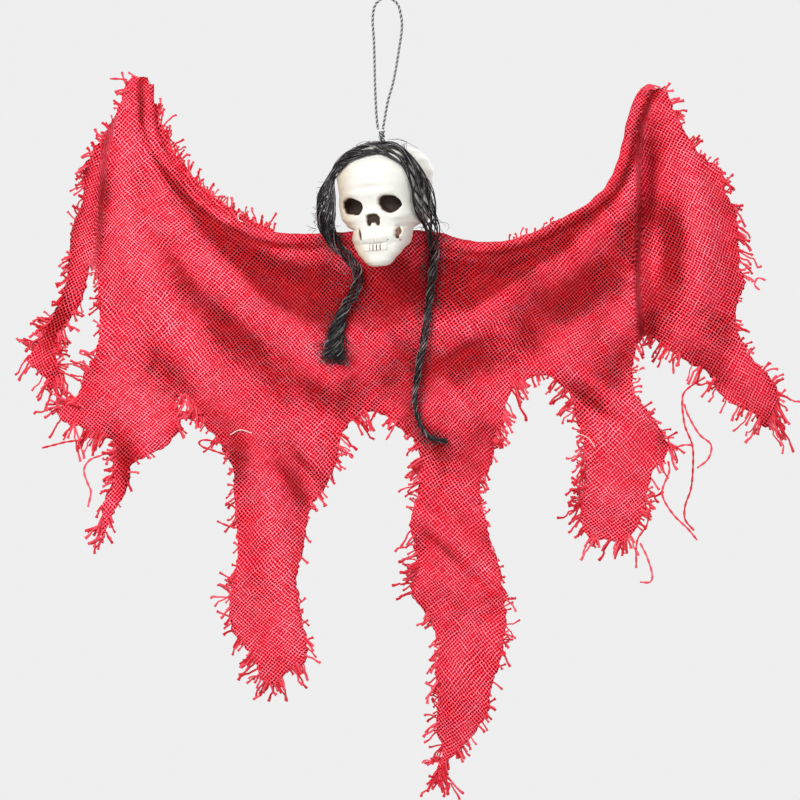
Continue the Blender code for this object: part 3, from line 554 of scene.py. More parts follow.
@dataclass(frozen=True)
class BoneFinish:
    """Ivory plastic with a brown wash left in its hollows, and beige painted shade on its left side, under its
    chin and round its back.
    """

    name: str = "ivory_plastic"
    clean: Colour = (0.80, 0.79, 0.73)
    painted_shade: Colour = (0.66, 0.59, 0.45)
    rim: Colour = (0.23, 0.105, 0.055)
    wash: Colour = (0.040, 0.024, 0.017)

    def build(self) -> Material:
        """Returns the material, which reads the mesh's wash and painted shade attributes."""
        w = FinishWriter(self.name)
        place = w.place()
        mottle = w.noise(place, 180.0, 3.0)
        # beige painted shade, with a random mottle
        painted_shade = (w.attribute("painted_shade") + (mottle - 0.5) * 0.35).rise(0.0, 1.0)
        body = w.mix(painted_shade, self.clean, self.painted_shade)
        wash = (w.attribute("wash") + (w.noise(place, 900.0, 2.0) - 0.5) * 0.32).rise(0.0, 1.0)
        tinted = w.mix(wash.rise(0.08, 0.55), body, self.rim)
        colour = w.mix(wash.rise(0.42, 0.85), tinted, self.wash)
        return w.finish(colour, 0.42 + wash * 0.25, w.noise(place, 420.0, 2.0), 0.00012,
                        {"Specular IOR Level": 0.35})


@dataclass(frozen=True)
class FibreFinish:
    """Charcoal synthetic fibre with paler strands here and there, partly the fibre's own grey and partly
    painted glints.
    """

    name: str = "charcoal_fibre"
    dark: Colour = (0.005, 0.004, 0.005)
    pale: Colour = (0.34, 0.31, 0.32)

    def build(self) -> Material:
        """Returns the material, which reads the mesh's tone attribute."""
        w = FinishWriter(self.name)
        streak = w.noise(w.place(), 700.0, 2.0)
        # a few paler strands, partly the fibre's own grey and partly painted glints
        tone = w.attribute("tone") * (0.4 + streak * 1.1)
        return w.finish(w.mix(tone, self.dark, self.pale), 0.45, None, 0.0, {"Specular IOR Level": 0.3})


@dataclass(frozen=True)
class CordFinish:
    """Two plies twisted together, one black and one silver grey."""

    name: str = "twisted_cord"
    black: Colour = (0.014, 0.014, 0.016)
    silver: Colour = (0.46, 0.46, 0.49)

    def build(self) -> Material:
        """Returns the material, which reads the mesh's ply attribute."""
        w = FinishWriter(self.name)
        fibre = w.noise(w.place(), 2600.0, 2.0)
        ply = (w.attribute("ply") + (fibre - 0.5) * 0.3).rise(0.42, 0.58)
        colour = w.mix(ply, self.black, self.silver)
        return w.finish(colour, 0.45 + fibre * 0.2, fibre, 0.00008)


@dataclass(frozen=True)
class WireFinish:
    """Drawn steel wire with fine lengthwise scratches and a little tarnish."""

    name: str = "steel_wire"

    def build(self) -> Material:
        """Returns the material."""
        w = FinishWriter(self.name)
        place = w.place()
        tarnish = w.noise(place, 160.0, 3.0).rise(0.45, 0.75)
        scratch = w.noise(w.vector("MULTIPLY", place, (300.0, 2500.0, 300.0)), 1.0)
        colour = w.mix(tarnish, (0.42, 0.42, 0.43), (0.20, 0.17, 0.15))
        return w.finish(colour, 0.28 + tarnish * 0.3 + scratch * 0.1, scratch, 0.00004, {"Metallic": 1.0})


@dataclass(frozen=True)
class GlueFinish:
    """Cloudy hot-melt glue, glossy on top."""

    name: str = "hot_melt"

    def build(self) -> Material:
        """Returns the material."""
        w = FinishWriter(self.name)
        place = w.place()
        cloud = w.noise(place, 260.0, 2.0)
        colour = w.mix(cloud, (0.82, 0.79, 0.70), (0.62, 0.55, 0.46))
        return w.finish(colour, 0.16 + cloud * 0.2, w.noise(place, 700.0, 1.0), 0.0002)


@dataclass(frozen=True)
class PaperFinish:
    """Pale floor that is seen at a plain level and still takes the object's shadow."""

    name: str = "pale_paper"
    paper: Colour = (0.82, 0.82, 0.81)
    level: float = 0.86
    share: float = 0.8

    def build(self) -> Material:
        """Returns the material, a blend of lit paper and of the level that the world shows too."""
        w = FinishWriter(self.name)
        made = w.finish(self.paper, 0.9)
        output = next(node for node in w.tree.nodes if node.type == "OUTPUT_MATERIAL")
        lit = output.inputs["Surface"].links[0].from_socket
        plain = w.node("ShaderNodeEmission", None, {"Color": (1.0, 1.0, 1.0, 1.0), "Strength": self.level})
        blend = w.node("ShaderNodeMixShader", None, {0: w.seen() * self.share, 1: lit, 2: plain.outputs[0]})
        w.tree.links.new(blend.outputs[0], output.inputs["Surface"])
        return made


class Slot(Enum):
    """The record's material slots, whose names the new pieces' finishes share."""

    GAUZE = "gauze"
    BONE = "ivory_plastic"
    FIBRE = "charcoal_fibre"
    CORD = "twisted_cord"


# ---------------------------------------------------------------- pieces


def linked(name: str, data: bpy.types.ID) -> Piece:
    """Returns a new object with this data, linked to the scene."""
    made = bpy.data.objects.new(name, data)
    bpy.context.scene.collection.objects.link(made)
    return made


def mesh_piece(name: str, points: Rows, faces: Sequence[Sequence[int]], material: Material,
               values: Optional[Mapping[str, Rows]] = None) -> Piece:
    """Adds a smooth mesh object whose place is in its mesh.

    Args:
        name: the piece's name.
        points: rows of X, Y and Z in metres.
        faces: lists of point numbers.
        material: its finish.
        values: attributes of its points, a number or three numbers each.

    Returns:
        The object.
    """
    mesh = bpy.data.meshes.new(name)
    mesh.from_pydata(np.asarray(points, float).tolist(), [], [list(face) for face in faces])
    mesh.shade_smooth()
    mesh.materials.append(material)
    write_values(mesh, values or {})
    return linked(name, mesh)


def write_values(mesh: bpy.types.Mesh, values: Mapping[str, Rows]) -> None:
    """Stores numbers or triples of numbers on a mesh's points.

    Args:
        mesh: the mesh.
        values: rows by attribute name.
    """
    for key, rows in values.items():
        rows = np.asarray(rows, np.float32)
        flat = rows.ndim == 1
        layer = mesh.attributes.new(key, "FLOAT" if flat else "FLOAT_VECTOR", "POINT")
        layer.data.foreach_set("value" if flat else "vector", rows.ravel())


def face_outwards(piece: Piece) -> None:
    """Turns all the faces of a mesh one way, which is outwards on a closed one."""
    shell = bmesh.new()
    shell.from_mesh(piece.data)
    bmesh.ops.recalc_face_normals(shell, faces=shell.faces)
    shell.to_mesh(piece.data)
    shell.free()


def surface_of(piece: Piece) -> BVHTree:
    """Returns a search tree over a piece as its modifiers leave it."""
    return BVHTree.FromObject(piece, bpy.context.evaluated_depsgraph_get())


def ring_faces(rings: int, sides: int, capped: bool = True) -> list[list[int]]:
    """Returns the faces of a tube.

    Args:
        rings: how many rings of points it has.
        sides: points to a ring.
        capped: whether each end is closed by one face.

    Returns:
        The faces.
    """
    faces = []
    for first in range(0, (rings - 1) * sides, sides):
        for side in range(sides):
            after = (side + 1) % sides
            faces.append([first + side, first + after, first + sides + after, first + sides + side])
    if capped:
        last = (rings - 1) * sides
        faces += [list(range(sides))[::-1], list(range(last, last + sides))]
    return faces


class FibreTree(NodeWriter):
    """Shared parts of the two node trees that turn lines into round fibres."""

    def __init__(self, name: str, sizes: Mapping[str, float]) -> None:
        """Makes the tree.

        Args:
            name: the tree's name.
            sizes: named inputs with their values.
        """
        tree = bpy.data.node_groups.new(name, "GeometryNodeTree")
        super().__init__(tree)
        tree.interface.new_socket("Geometry", in_out="INPUT", socket_type="NodeSocketGeometry")
        for key in sizes:
            tree.interface.new_socket(key, in_out="INPUT", socket_type="NodeSocketFloat")
        tree.interface.new_socket("Finish", in_out="INPUT", socket_type="NodeSocketMaterial")
        tree.interface.new_socket("Geometry", in_out="OUTPUT", socket_type="NodeSocketGeometry")
        self.sizes = dict(sizes)
        self.inputs = self.node("NodeGroupInput")

    def size(self, name: str) -> Signal:
        """Returns a named input."""
        return Signal(self, self.inputs.outputs[name])

    def named(self, name: str, kind: str = "FLOAT") -> Signal:
        """Returns an attribute that the geometry carries."""
        return self.signal("GeometryNodeInputNamedAttribute", {"data_type": kind}, {"Name": name})

    def tubes(self, curves: Feed, radius: Signal, sides: int) -> None:
        """Sweeps a round section along curves and ends the tree.

        Args:
            curves: the curves.
            radius: their radius at each point.
            sides: sides of the section.
        """
        section = self.node("GeometryNodeCurvePrimitiveCircle", None, {"Resolution": sides, "Radius": 1.0})
        swept = self.node("GeometryNodeCurveToMesh", None,
                          {"Curve": curves, "Profile Curve": section.outputs[0], "Scale": radius,
                           "Fill Caps": True})
        smooth = self.node("GeometryNodeSetShadeSmooth", None, {"Geometry": swept.outputs[0]})
        real = self.node("GeometryNodeRealizeInstances", None, {"Geometry": smooth.outputs[0]})
        done = self.node("GeometryNodeSetMaterial", None,
                         {"Geometry": real.outputs[0], "Material": self.inputs.outputs["Finish"]})
        self.node("NodeGroupOutput", None, {0: done.outputs[0]})

    def run(self, name: str, seeds: bpy.types.Mesh, material: Material) -> Piece:
        """Runs the tree on a mesh of seeds and keeps the result as a plain mesh object.

        Args:
            name: the piece's name.
            seeds: points or edges with their attributes.
            material: the finish.

        Returns:
            The object.
        """
        carrier = linked(name + "_seeds", seeds)
        modifier = carrier.modifiers.new("fibres", "NODES")
        modifier.node_group = self.tree
        for item in self.tree.interface.items_tree:
            if item.in_out == "INPUT" and item.name in self.sizes:
                modifier[item.identifier] = self.sizes[item.name]
            if item.in_out == "INPUT" and item.name == "Finish":
                modifier[item.identifier] = material
        graph = bpy.context.evaluated_depsgraph_get()
        mesh = bpy.data.meshes.new_from_object(carrier.evaluated_get(graph))
        mesh.name = name
        carrier.modifiers.remove(modifier)
        bpy.data.objects.remove(carrier, do_unlink=True)
        if not mesh.materials:
            mesh.materials.append(material)
        return linked(name, mesh)


class FringeTree(FibreTree):
    """Turns points along a torn edge into curling thread ends."""

    def __init__(self, name: str, radius: float, curl: float, droop: float, knob: float) -> None:
        """Writes the tree.

        Args:
            name: the tree's name.
            radius: thread radius in metres.
            curl: how far a thread wanders, as a share of its reach.
            droop: how far its end hangs, as a share of its reach.
            knob: how much thicker its end is.
        """
        super().__init__(name, {"Thread Radius": radius, "Curl": curl, "Droop": droop, "Knob": knob})
        points = self.node("GeometryNodeMeshToPoints", None, {"Mesh": self.inputs.outputs["Geometry"]})
        line = self.node("GeometryNodeCurvePrimitiveLine", None, {"Start": (0, 0, 0), "End": (0, 0, 1)})
        thread = self.node("GeometryNodeResampleCurve", None, {"Curve": line.outputs[0], "Count": 8})
        turned = self.node("FunctionNodeAlignRotationToVector", {"axis": "Z"},
                           {"Vector": self.named("out", "FLOAT_VECTOR")})
        reach = self.named("reach")
        placed = self.node("GeometryNodeInstanceOnPoints", None,
                           {"Points": points.outputs[0], "Instance": thread.outputs[0],
                            "Rotation": turned.outputs[0],
                            "Scale": self.node("ShaderNodeCombineXYZ", None,
                                               {0: reach, 1: reach, 2: reach}).outputs[0]})
        real = self.node("GeometryNodeRealizeInstances", None, {"Geometry": placed.outputs[0]})
        share = self.signal("GeometryNodeSplineParameter", output="Factor")
        where = self.node("GeometryNodeInputPosition").outputs[0]
        wander = self.node("ShaderNodeTexNoise", {"noise_dimensions": "4D"},
                           {"Vector": where, "W": self.named("seed"), "Scale": 210.0, "Detail": 1.0})
        centred = self.vector("SUBTRACT", wander.outputs["Color"], (0.5, 0.5, 0.5))
        strength = share * reach * self.size("Curl") * 2.6
        moved = self.node("ShaderNodeVectorMath", {"operation": "SCALE"}, {0: centred, "Scale": strength})
        fall = share * share * reach * self.size("Droop") * -1.0
        hang = self.node("ShaderNodeCombineXYZ", None, {2: fall})
        offset = self.vector("ADD", moved.outputs[0], hang.outputs[0])
        bent = self.node("GeometryNodeSetPosition", None, {"Geometry": real.outputs[0], "Offset": offset})
        end = share.rise(0.72, 1.0) * self.size("Knob")
        radius_here = self.size("Thread Radius") * (1 + end) * self.named("girth")
        self.tubes(bent.outputs[0], radius_here, 5)


class StrandTree(FibreTree):
    """Turns edge lines into long fibres."""

    def __init__(self, name: str, radius: float, sides: int) -> None:
        """Writes the tree.

        Args:
            name: the tree's name.
            radius: fibre radius in metres.
            sides: sides of its section.
        """
        super().__init__(name, {"Fibre Radius": radius})
        curves = self.node("GeometryNodeMeshToCurve", None, {"Mesh": self.inputs.outputs["Geometry"]})
        self.tubes(curves.outputs[0], self.size("Fibre Radius") * self.named("girth"), sides)


def strand_mesh(name: str, lines: Sequence[Rows], girths: Sequence[Rows],
                tones: Sequence[float]) -> bpy.types.Mesh:
    """Returns a mesh of loose edge lines for a strand tree.

    Args:
        name: the mesh's name.
        lines: rows of X, Y and Z for each line.
        girths: a thickness share for each point of each line.
        tones: a tone for each line.

    Returns:
        The mesh.
    """
    edges, first = [], 0
    for line in lines:
        edges += [(first + i, first + i + 1) for i in range(len(line) - 1)]
        first += len(line)
    mesh = bpy.data.meshes.new(name)
    mesh.from_pydata(np.vstack(lines).tolist(), edges, [])
    write_values(mesh, {"girth": np.concatenate(girths),
                        "tone": np.concatenate([np.full(len(line), t) for line, t in zip(lines, tones)])})
    return mesh


@dataclass
class ArmWire:
    """The bent wire's route, which the roll of the cloth follows."""

    left_span: float = 118.5 * MM
    left_rise: float = 75.5 * MM
    right_span: float = 130.5 * MM
    right_rise: float = 72.5 * MM

    def arm(self, proportions: Line, span: float, rise: float) -> Rows:
        """Returns an arm's points from the wire's middle outwards.

        Args:
            proportions: to the side and up, in the arm's own millimetres.
            span: how far its tip lies to the side.
            rise: how far its tip lies up.

        Returns:
            Rows of X, Y and Z.
        """
        tip_x, tip_z = proportions[-1]
        rows = [(x / abs(tip_x) * span, 0.0, z / tip_z * rise) for x, z in proportions]
        return WIRE_MIDDLE + np.array(rows)

    def route(self, spacing: float) -> Rows:
        """Returns the centre line from the left tip to the right one.

        Args:
            spacing: distance between its points.

        Returns:
            Rows of X, Y and Z.
        """
        left = self.arm(LEFT_ARM, self.left_span, self.left_rise)[::-1]
        right = self.arm(RIGHT_ARM, self.right_span, self.right_rise)
        return smooth_line(np.vstack([left, WIRE_MIDDLE[None], right]), spacing)

    def upper_side(self, route: Rows) -> Rows:
        """Finds which way is away from the hanging cloth.

        Args:
            route: rows of X, Y and Z along the wire.

        Returns:
            Unit rows of X and Z.
        """
        along = tangents(route)
        up = np.stack([-along[:, 2], along[:, 0]], axis=1)
        return up / np.linalg.norm(up, axis=1, keepdims=True)

    def eyes(self) -> tuple[Rows, Rows]:
        """Returns X and Z of the left and the right eye."""
        route = self.route(7 * MM)
        up = self.upper_side(route)
        return route[0, [0, 2]] - up[0] * EYE_RADIUS, route[-1, [0, 2]] - up[-1] * EYE_RADIUS


@dataclass(frozen=True)
class Fold:
    """A ridge or a valley that the cloth keeps along a line in front view."""

    line: Line
    height: float
    width: float


FOLDS = (
    Fold(((162, 238), (173, 260), (199, 293), (226, 320), (261, 353), (282, 392)), -1.5, 5.0),
    Fold(((176, 200), (194, 216), (237, 246), (276, 274), (319, 292), (345, 318)), -1.9, 6.5),
    Fold(((164, 212), (182, 236), (226, 279), (268, 322), (311, 352), (340, 400)), 1.7, 8.0),
    Fold(((140, 240), (160, 300), (196, 360), (214, 410)), 1.2, 8.0),
    Fold(((140, 335), (156, 352), (150, 372), (138, 392)), -1.3, 3.5),
    Fold(((640, 180), (632, 193), (549, 260), (483, 318), (441, 331), (400, 345)), 2.3, 8.5),
    Fold(((600, 218), (560, 246), (516, 268), (458, 318)), -2.4, 5.0),
    Fold(((668, 198), (640, 260), (600, 330), (560, 372)), -1.3, 7.0),
    Fold(((660, 235), (640, 300), (612, 350)), 1.5, 8.0),
    Fold(((412, 522), (440, 545), (475, 578), (508, 606)), -2.7, 3.2),
    Fold(((414, 508), (445, 530), (480, 560), (508, 590)), 1.7, 4.2),
    Fold(((430, 580), (448, 596), (470, 615), (486, 632)), -2.2, 3.4),
    Fold(((410, 552), (445, 588), (478, 622), (500, 645)), 1.1, 4.5),
    Fold(((438, 500), (446, 470), (436, 440)), -1.0, 4.0),
    Fold(((560, 380), (590, 402), (612, 418), (642, 434)), -2.4, 2.8),
    Fold(((566, 368), (600, 388), (632, 410), (662, 428)), 1.9, 4.0),
    Fold(((576, 408), (588, 428), (606, 470)), -2.0, 2.6),
    Fold(((610, 424), (634, 450), (640, 480)), 1.4, 5.0),
    Fold(((430, 372), (470, 348), (500, 336)), -1.5, 4.5),
    Fold(((300, 262), (345, 282), (392, 296), (430, 280), (470, 262)), -1.3, 7.0),
    Fold(((330, 330), (380, 338), (420, 322)), 1.3, 8.0),
    Fold(((276, 470), (280, 540), (286, 610), (292, 660)), 1.3, 7.0),
    Fold(((330, 420), (322, 500), (318, 580)), -0.9, 6.0),
    Fold(((286, 438), (300, 458), (318, 478), (334, 494)), -2.4, 3.0),
    Fold(((300, 436), (314, 456), (332, 476)), 1.8, 3.6),
    Fold(((276, 462), (296, 490), (314, 508)), -1.5, 3.6),
)


@dataclass(frozen=True)
class Patch:
    """A soft-edged patch of the cloth with painted light where its strength is above 0 and painted shade where
    it is below.
    """

    centre: Pair
    size: Pair
    turn: float
    strength: float


# patches of painted light and painted shade on the robe
LIGHT_AND_SHADE_PATCHES = (
    Patch((125, 250), (42, 120), 0, 0.55), Patch((245, 300), (90, 16), 40, 0.25),
    Patch((350, 290), (150, 42), 0, -0.55), Patch((265, 262), (60, 16), 15, -0.4),
    Patch((205, 320), (60, 10), 47, -0.3), Patch((520, 262), (60, 14), -15, -0.35),
    Patch((430, 420), (60, 26), 0, -0.2), Patch((560, 270), (80, 50), -25, -0.34),
    Patch((395, 370), (60, 30), 0, -0.25), Patch((700, 200), (24, 80), -10, 0.6),
    Patch((668, 230), (13, 80), -10, -0.42), Patch((740, 390), (50, 24), 30, 0.0),
    Patch((275, 620), (36, 80), 0, 0.45), Patch((470, 640), (36, 110), 0, 0.3),
    Patch((620, 480), (44, 60), 0, 0.5), Patch((110, 400), (60, 40), 0, 0.2),
    Patch((50, 340), (30, 60), 0, -0.28), Patch((90, 200), (18, 50), 8, -0.45),
    Patch((101, 230), (6, 90), 3, -0.5), Patch((200, 300), (30, 40), 40, 0.4),
    Patch((375, 314), (30, 20), 0, 0.16), Patch((610, 225), (16, 50), 25, -0.1),
    Patch((105, 340), (20, 30), 0, -0.25), Patch((150, 140), (16, 24), 0, 0.3),
    Patch((268, 510), (26, 40), 0, 0.3))


@dataclass
class Drape:
    """Where the cloth's middle layer lies in depth, for any place in front view."""

    wire: ArmWire
    roll_radius: float = 2.1 * MM
    fold_height: float = 2.6 * MM
    strip_fold_height: float = 1.5 * MM
    turn_width: float = 4.0 * MM
    back_strip_setback: float = 13.0 * MM
    flap_setback: float = 14.0 * MM
    ripple: float = 0.28 * MM

    def __post_init__(self) -> None:
        """Settles the lines that the cloth hangs from and turns at."""
        self.left_eye, self.right_eye = self.wire.eyes()
        self.roll = self.wire.route(2 * MM)[:, [0, 2]]
        self.left_turn = self.hung(self.left_eye, max(z for _, z in LEFT_TURN) * MM, LEFT_TURN)
        self.right_turn = self.hung(self.right_eye, max(z for _, z in RIGHT_TURN) * MM, RIGHT_TURN)

    @staticmethod
    def hung(anchor: Rows, drop: float, proportions: Line) -> Rows:
        """Returns rows of X and Z of a line that hangs from an anchor and reaches drop below it."""
        lowest = max(below for _, below in proportions)
        return np.array([(anchor[0] + x * MM, anchor[1] - below / lowest * drop) for x, below in proportions])

    def swags(self, places: Rows, eye: Rows, side: int, fan: Triple) -> Rows:
        """Returns the folds that fan out from an eye, from -1 to 1.

        Args:
            places: rows of X and Z.
            eye: X and Z of the eye.
            side: 1 from the left eye, -1 from the right one.
            fan: sag in degrees per millimetre, first ridge and pitch in degrees.

        Returns:
            One value to a place.
        """
        sag, ridge, pitch = fan
        across, below = side * (places[:, 0] - eye[0]), eye[1] - places[:, 1]
        reach = np.hypot(across, below)
        angle = np.degrees(np.arctan2(below, across)) + sag * reach / MM
        return np.cos(FULL_TURN * (angle - ridge) / pitch) * ramp(10 * MM, 70 * MM, reach)

    def folds(self, places: Rows) -> Rows:
        """Adds up all the folds.

        Args:
            places: rows of X and Z.

        Returns:
            How far they bring the cloth forward at each place.
        """
        x, z = places[:, 0], places[:, 1]
        left = ramp(20 * MM, -35 * MM, x) * self.swags(places, self.left_eye, 1, (0.23, 92, 18))
        right = ramp(0.0, 45 * MM, x) * self.swags(places, self.right_eye, -1, (0.28, 91, 20))
        upper = 1 - ramp(90 * MM, 150 * MM, WIRE_Z - z)
        low = ramp(80 * MM, 120 * MM, WIRE_Z - z)
        slant = np.cos(FULL_TURN * (0.62 * x + 0.78 * z) / (24 * MM) + 0.8)
        along = np.cos(FULL_TURN * (x + 0.18 * z + 22 * MM) / (27 * MM))
        share = ramp(-10 * MM, 10 * MM, x)
        strips = low * (slant * share * 0.4 + along * (1 - share))
        total = 0.6 * self.fold_height * (left + right) * upper + self.strip_fold_height * strips
        for fold in FOLDS:
            gap, _, along_line = line_gap(smooth_line(front_line(fold.line), 3 * MM), places)
            fade = np.sin(math.pi * np.clip(along_line, 0.0, 1.0)) ** 0.6
            total += fold.height * MM * bump(gap, fold.width * MM) * fade
        return total + self.ripple * (Ripple(3, 13 * MM).at(places) + 0.5 * Ripple(5, 6 * MM).at(places))

    def set_back(self, places: Rows) -> Rows:
        """Sets back the cloth beyond the two turns.

        Args:
            places: rows of X and Z.

        Returns:
            How far it hangs behind the rest at each place.
        """
        gap, side, _ = line_gap(self.left_turn, places)
        half = self.turn_width / 2
        back_strip = ramp(-half, half, -side * gap) * self.back_strip_setback
        gap, side, _ = line_gap(self.right_turn, places)
        out = side * gap
        swell = 1 - 0.85 * ramp(3 * MM, 20 * MM, out) + 0.35 * ramp(26 * MM, 50 * MM, out)
        flap = ramp(-half, half + 5 * MM, out) * self.flap_setback * swell
        return (back_strip * ramp(12 * MM, 60 * MM, self.left_eye[1] - places[:, 1])
                + flap * ramp(5 * MM, 50 * MM, self.right_eye[1] - places[:, 1]))

    def crease(self, places: Rows) -> tuple[Rows, Rows]:
        """Measures the cloth against the roll above it.

        Args:
            places: rows of X and Z.

        Returns:
            How far each place lies from the roll, and how deep it is tucked in under it.
        """
        below_roll, _, _ = line_gap(self.roll, places)
        away = ramp(24 * MM, 62 * MM, np.abs(places[:, 0] - 4 * MM))
        tucked = (0.5 + 1.9 * away) * MM * bump(below_roll - 4.4 * MM, 2.2 * MM)
        return below_roll, tucked

    def depth(self, places: Rows) -> Rows:
        """Finds the cloth's middle layer.

        Args:
            places: rows of X and Z.

        Returns:
            Its Y at each place.
        """
        x, z = places[:, 0], places[:, 1]
        below_roll, tucked = self.crease(places)
        hollow = 2.5 * MM * bump(x - 4 * MM, 60 * MM) * bump(z - (WIRE_Z - 45 * MM), 45 * MM)
        depth = hollow - self.folds(places) + self.set_back(places)
        under_skull = bump(x - SKULL_RIGHT, 30 * MM) * bump(z - WIRE_Z, 34 * MM)
        depth = depth * (1 - under_skull)
        gaps = [np.linalg.norm(places - eye, axis=1) for eye in (self.left_eye, self.right_eye)]
        clear = ramp(EYE_RADIUS + 3 * MM, EYE_RADIUS + 14 * MM, np.minimum(*gaps))
        return WIRE_BACK - self.roll_radius + (depth * ramp(3 * MM, 16 * MM, below_roll) + tucked) * clear

    def painted_light(self, places: Rows) -> Rows:
        """Paints light and shade on the cloth: patches of painted light and painted shade, painted shade in
        fold valleys and in the crease under the roll, painted light on fold ridges, and a little random tone.

        Args:
            places: rows of X and Z.

        Returns:
            The painted light at each place, from 0 in painted shade to 1 in painted light.
        """
        total = np.full(len(places), 0.45)
        for patch in LIGHT_AND_SHADE_PATCHES:
            dx, dz = (places - np.array(front(*patch.centre))).T / STEP
            c, s = math.cos(math.radians(patch.turn)), math.sin(math.radians(patch.turn))
            across, down = dx * c - dz * s, -dx * s - dz * c
            reach = np.hypot(across / patch.size[0], down / patch.size[1])
            total += patch.strength * np.exp(-reach**2)
        _, tucked = self.crease(places)
        # painted shade in fold valleys and painted light on fold ridges
        total += np.clip(self.folds(places) / (5 * MM), -0.6, 0.5) * 0.8
        # a little random tone, and painted shade in the crease under the roll
        total += 0.10 * Ripple(71, 30 * MM).at(places) - 0.8 * np.clip(tucked / (2.4 * MM), 0, 1)
        return np.clip(total, 0, 1)

    def torn_edge(self) -> Rows:
        """Returns the torn edge from the right tip round to the left one, as rows of X and Z."""
        right, left, middle = self.right_eye, self.left_eye, WIRE_MIDDLE[[0, 2]]
        return np.vstack([self.hung(right, 168.0 * MM, RIGHT_FLAP), self.hung(right, 226.5 * MM, STRIP_C),
                          self.hung(middle, 275.0 * MM, STRIP_B), self.hung(middle, 227.0 * MM, STRIP_A),
                          self.hung(left, 231.0 * MM, LEFT_LOBE), self.hung(left, 156.0 * MM, BACK_STRIP)])


@dataclass(frozen=True)
class Tuft:
    """A stretch of the torn edge where the fringe differs from the rest."""

    centre: Pair
    reach_round: float
    length: float
    density: float


TUFTS = (
    Tuft((34, 345), 40, 6.0, 1.5), Tuft((45, 400), 26, 7.5, 1.6), Tuft((82, 320), 20, 5.5, 1.4),
    Tuft((78, 354), 24, 8.5, 1.7), Tuft((66, 396), 22, 7.0, 1.7), Tuft((80, 436), 32, 9.0, 1.9),
    Tuft((112, 480), 22, 4.5, 1.2), Tuft((103, 530), 24, 6.5, 1.7), Tuft((160, 450), 22, 2.0, 0.1),
    Tuft((188, 412), 20, 4.0, 2.6), Tuft((206, 444), 16, 6.0, 1.2), Tuft((233, 500), 30, 4.0, 0.5),
    Tuft((240, 555), 26, 2.0, 0.15), Tuft((226, 605), 30, 7.5, 1.7), Tuft((248, 665), 28, 7.0, 1.6),
    Tuft((266, 692), 22, 8.0, 1.8), Tuft((302, 668), 22, 5.5, 1.5), Tuft((303, 570), 50, 2.0, 0.2),
    Tuft((338, 482), 16, 4.5, 0.9), Tuft((352, 434), 28, 9.5, 1.9), Tuft((380, 415), 16, 5.0, 0.8),
    Tuft((410, 470), 28, 6.5, 1.5), Tuft((406, 560), 40, 6.5, 1.5), Tuft((428, 680), 40, 5.5, 1.5),
    Tuft((438, 766), 28, 7.5, 2.0), Tuft((492, 540), 46, 2.0, 0.12), Tuft((510, 612), 20, 4.5, 1.0),
    Tuft((492, 690), 24, 4.5, 1.2), Tuft((512, 390), 24, 8.5, 1.7), Tuft((498, 440), 20, 4.5, 1.0),
    Tuft((545, 372), 16, 2.0, 0.2), Tuft((566, 402), 22, 8.0, 1.7), Tuft((580, 455), 18, 6.5, 1.4),
    Tuft((572, 504), 24, 8.0, 1.8), Tuft((608, 546), 32, 6.5, 1.7), Tuft((650, 500), 22, 5.0, 1.5),
    Tuft((672, 448), 16, 6.5, 1.6), Tuft((655, 400), 24, 2.0, 0.25), Tuft((668, 346), 20, 5.5, 1.3),
    Tuft((704, 380), 22, 5.5, 1.3), Tuft((770, 418), 34, 9.0, 2.0), Tuft((732, 185), 26, 5.0, 1.2),
    Tuft((746, 245), 34, 7.5, 1.7), Tuft((742, 300), 22, 5.5, 1.3), Tuft((705, 130), 34, 3.5, 0.8),
    Tuft((763, 356), 16, 4.5, 1.0), Tuft((88, 190), 50, 3.0, 0.7))


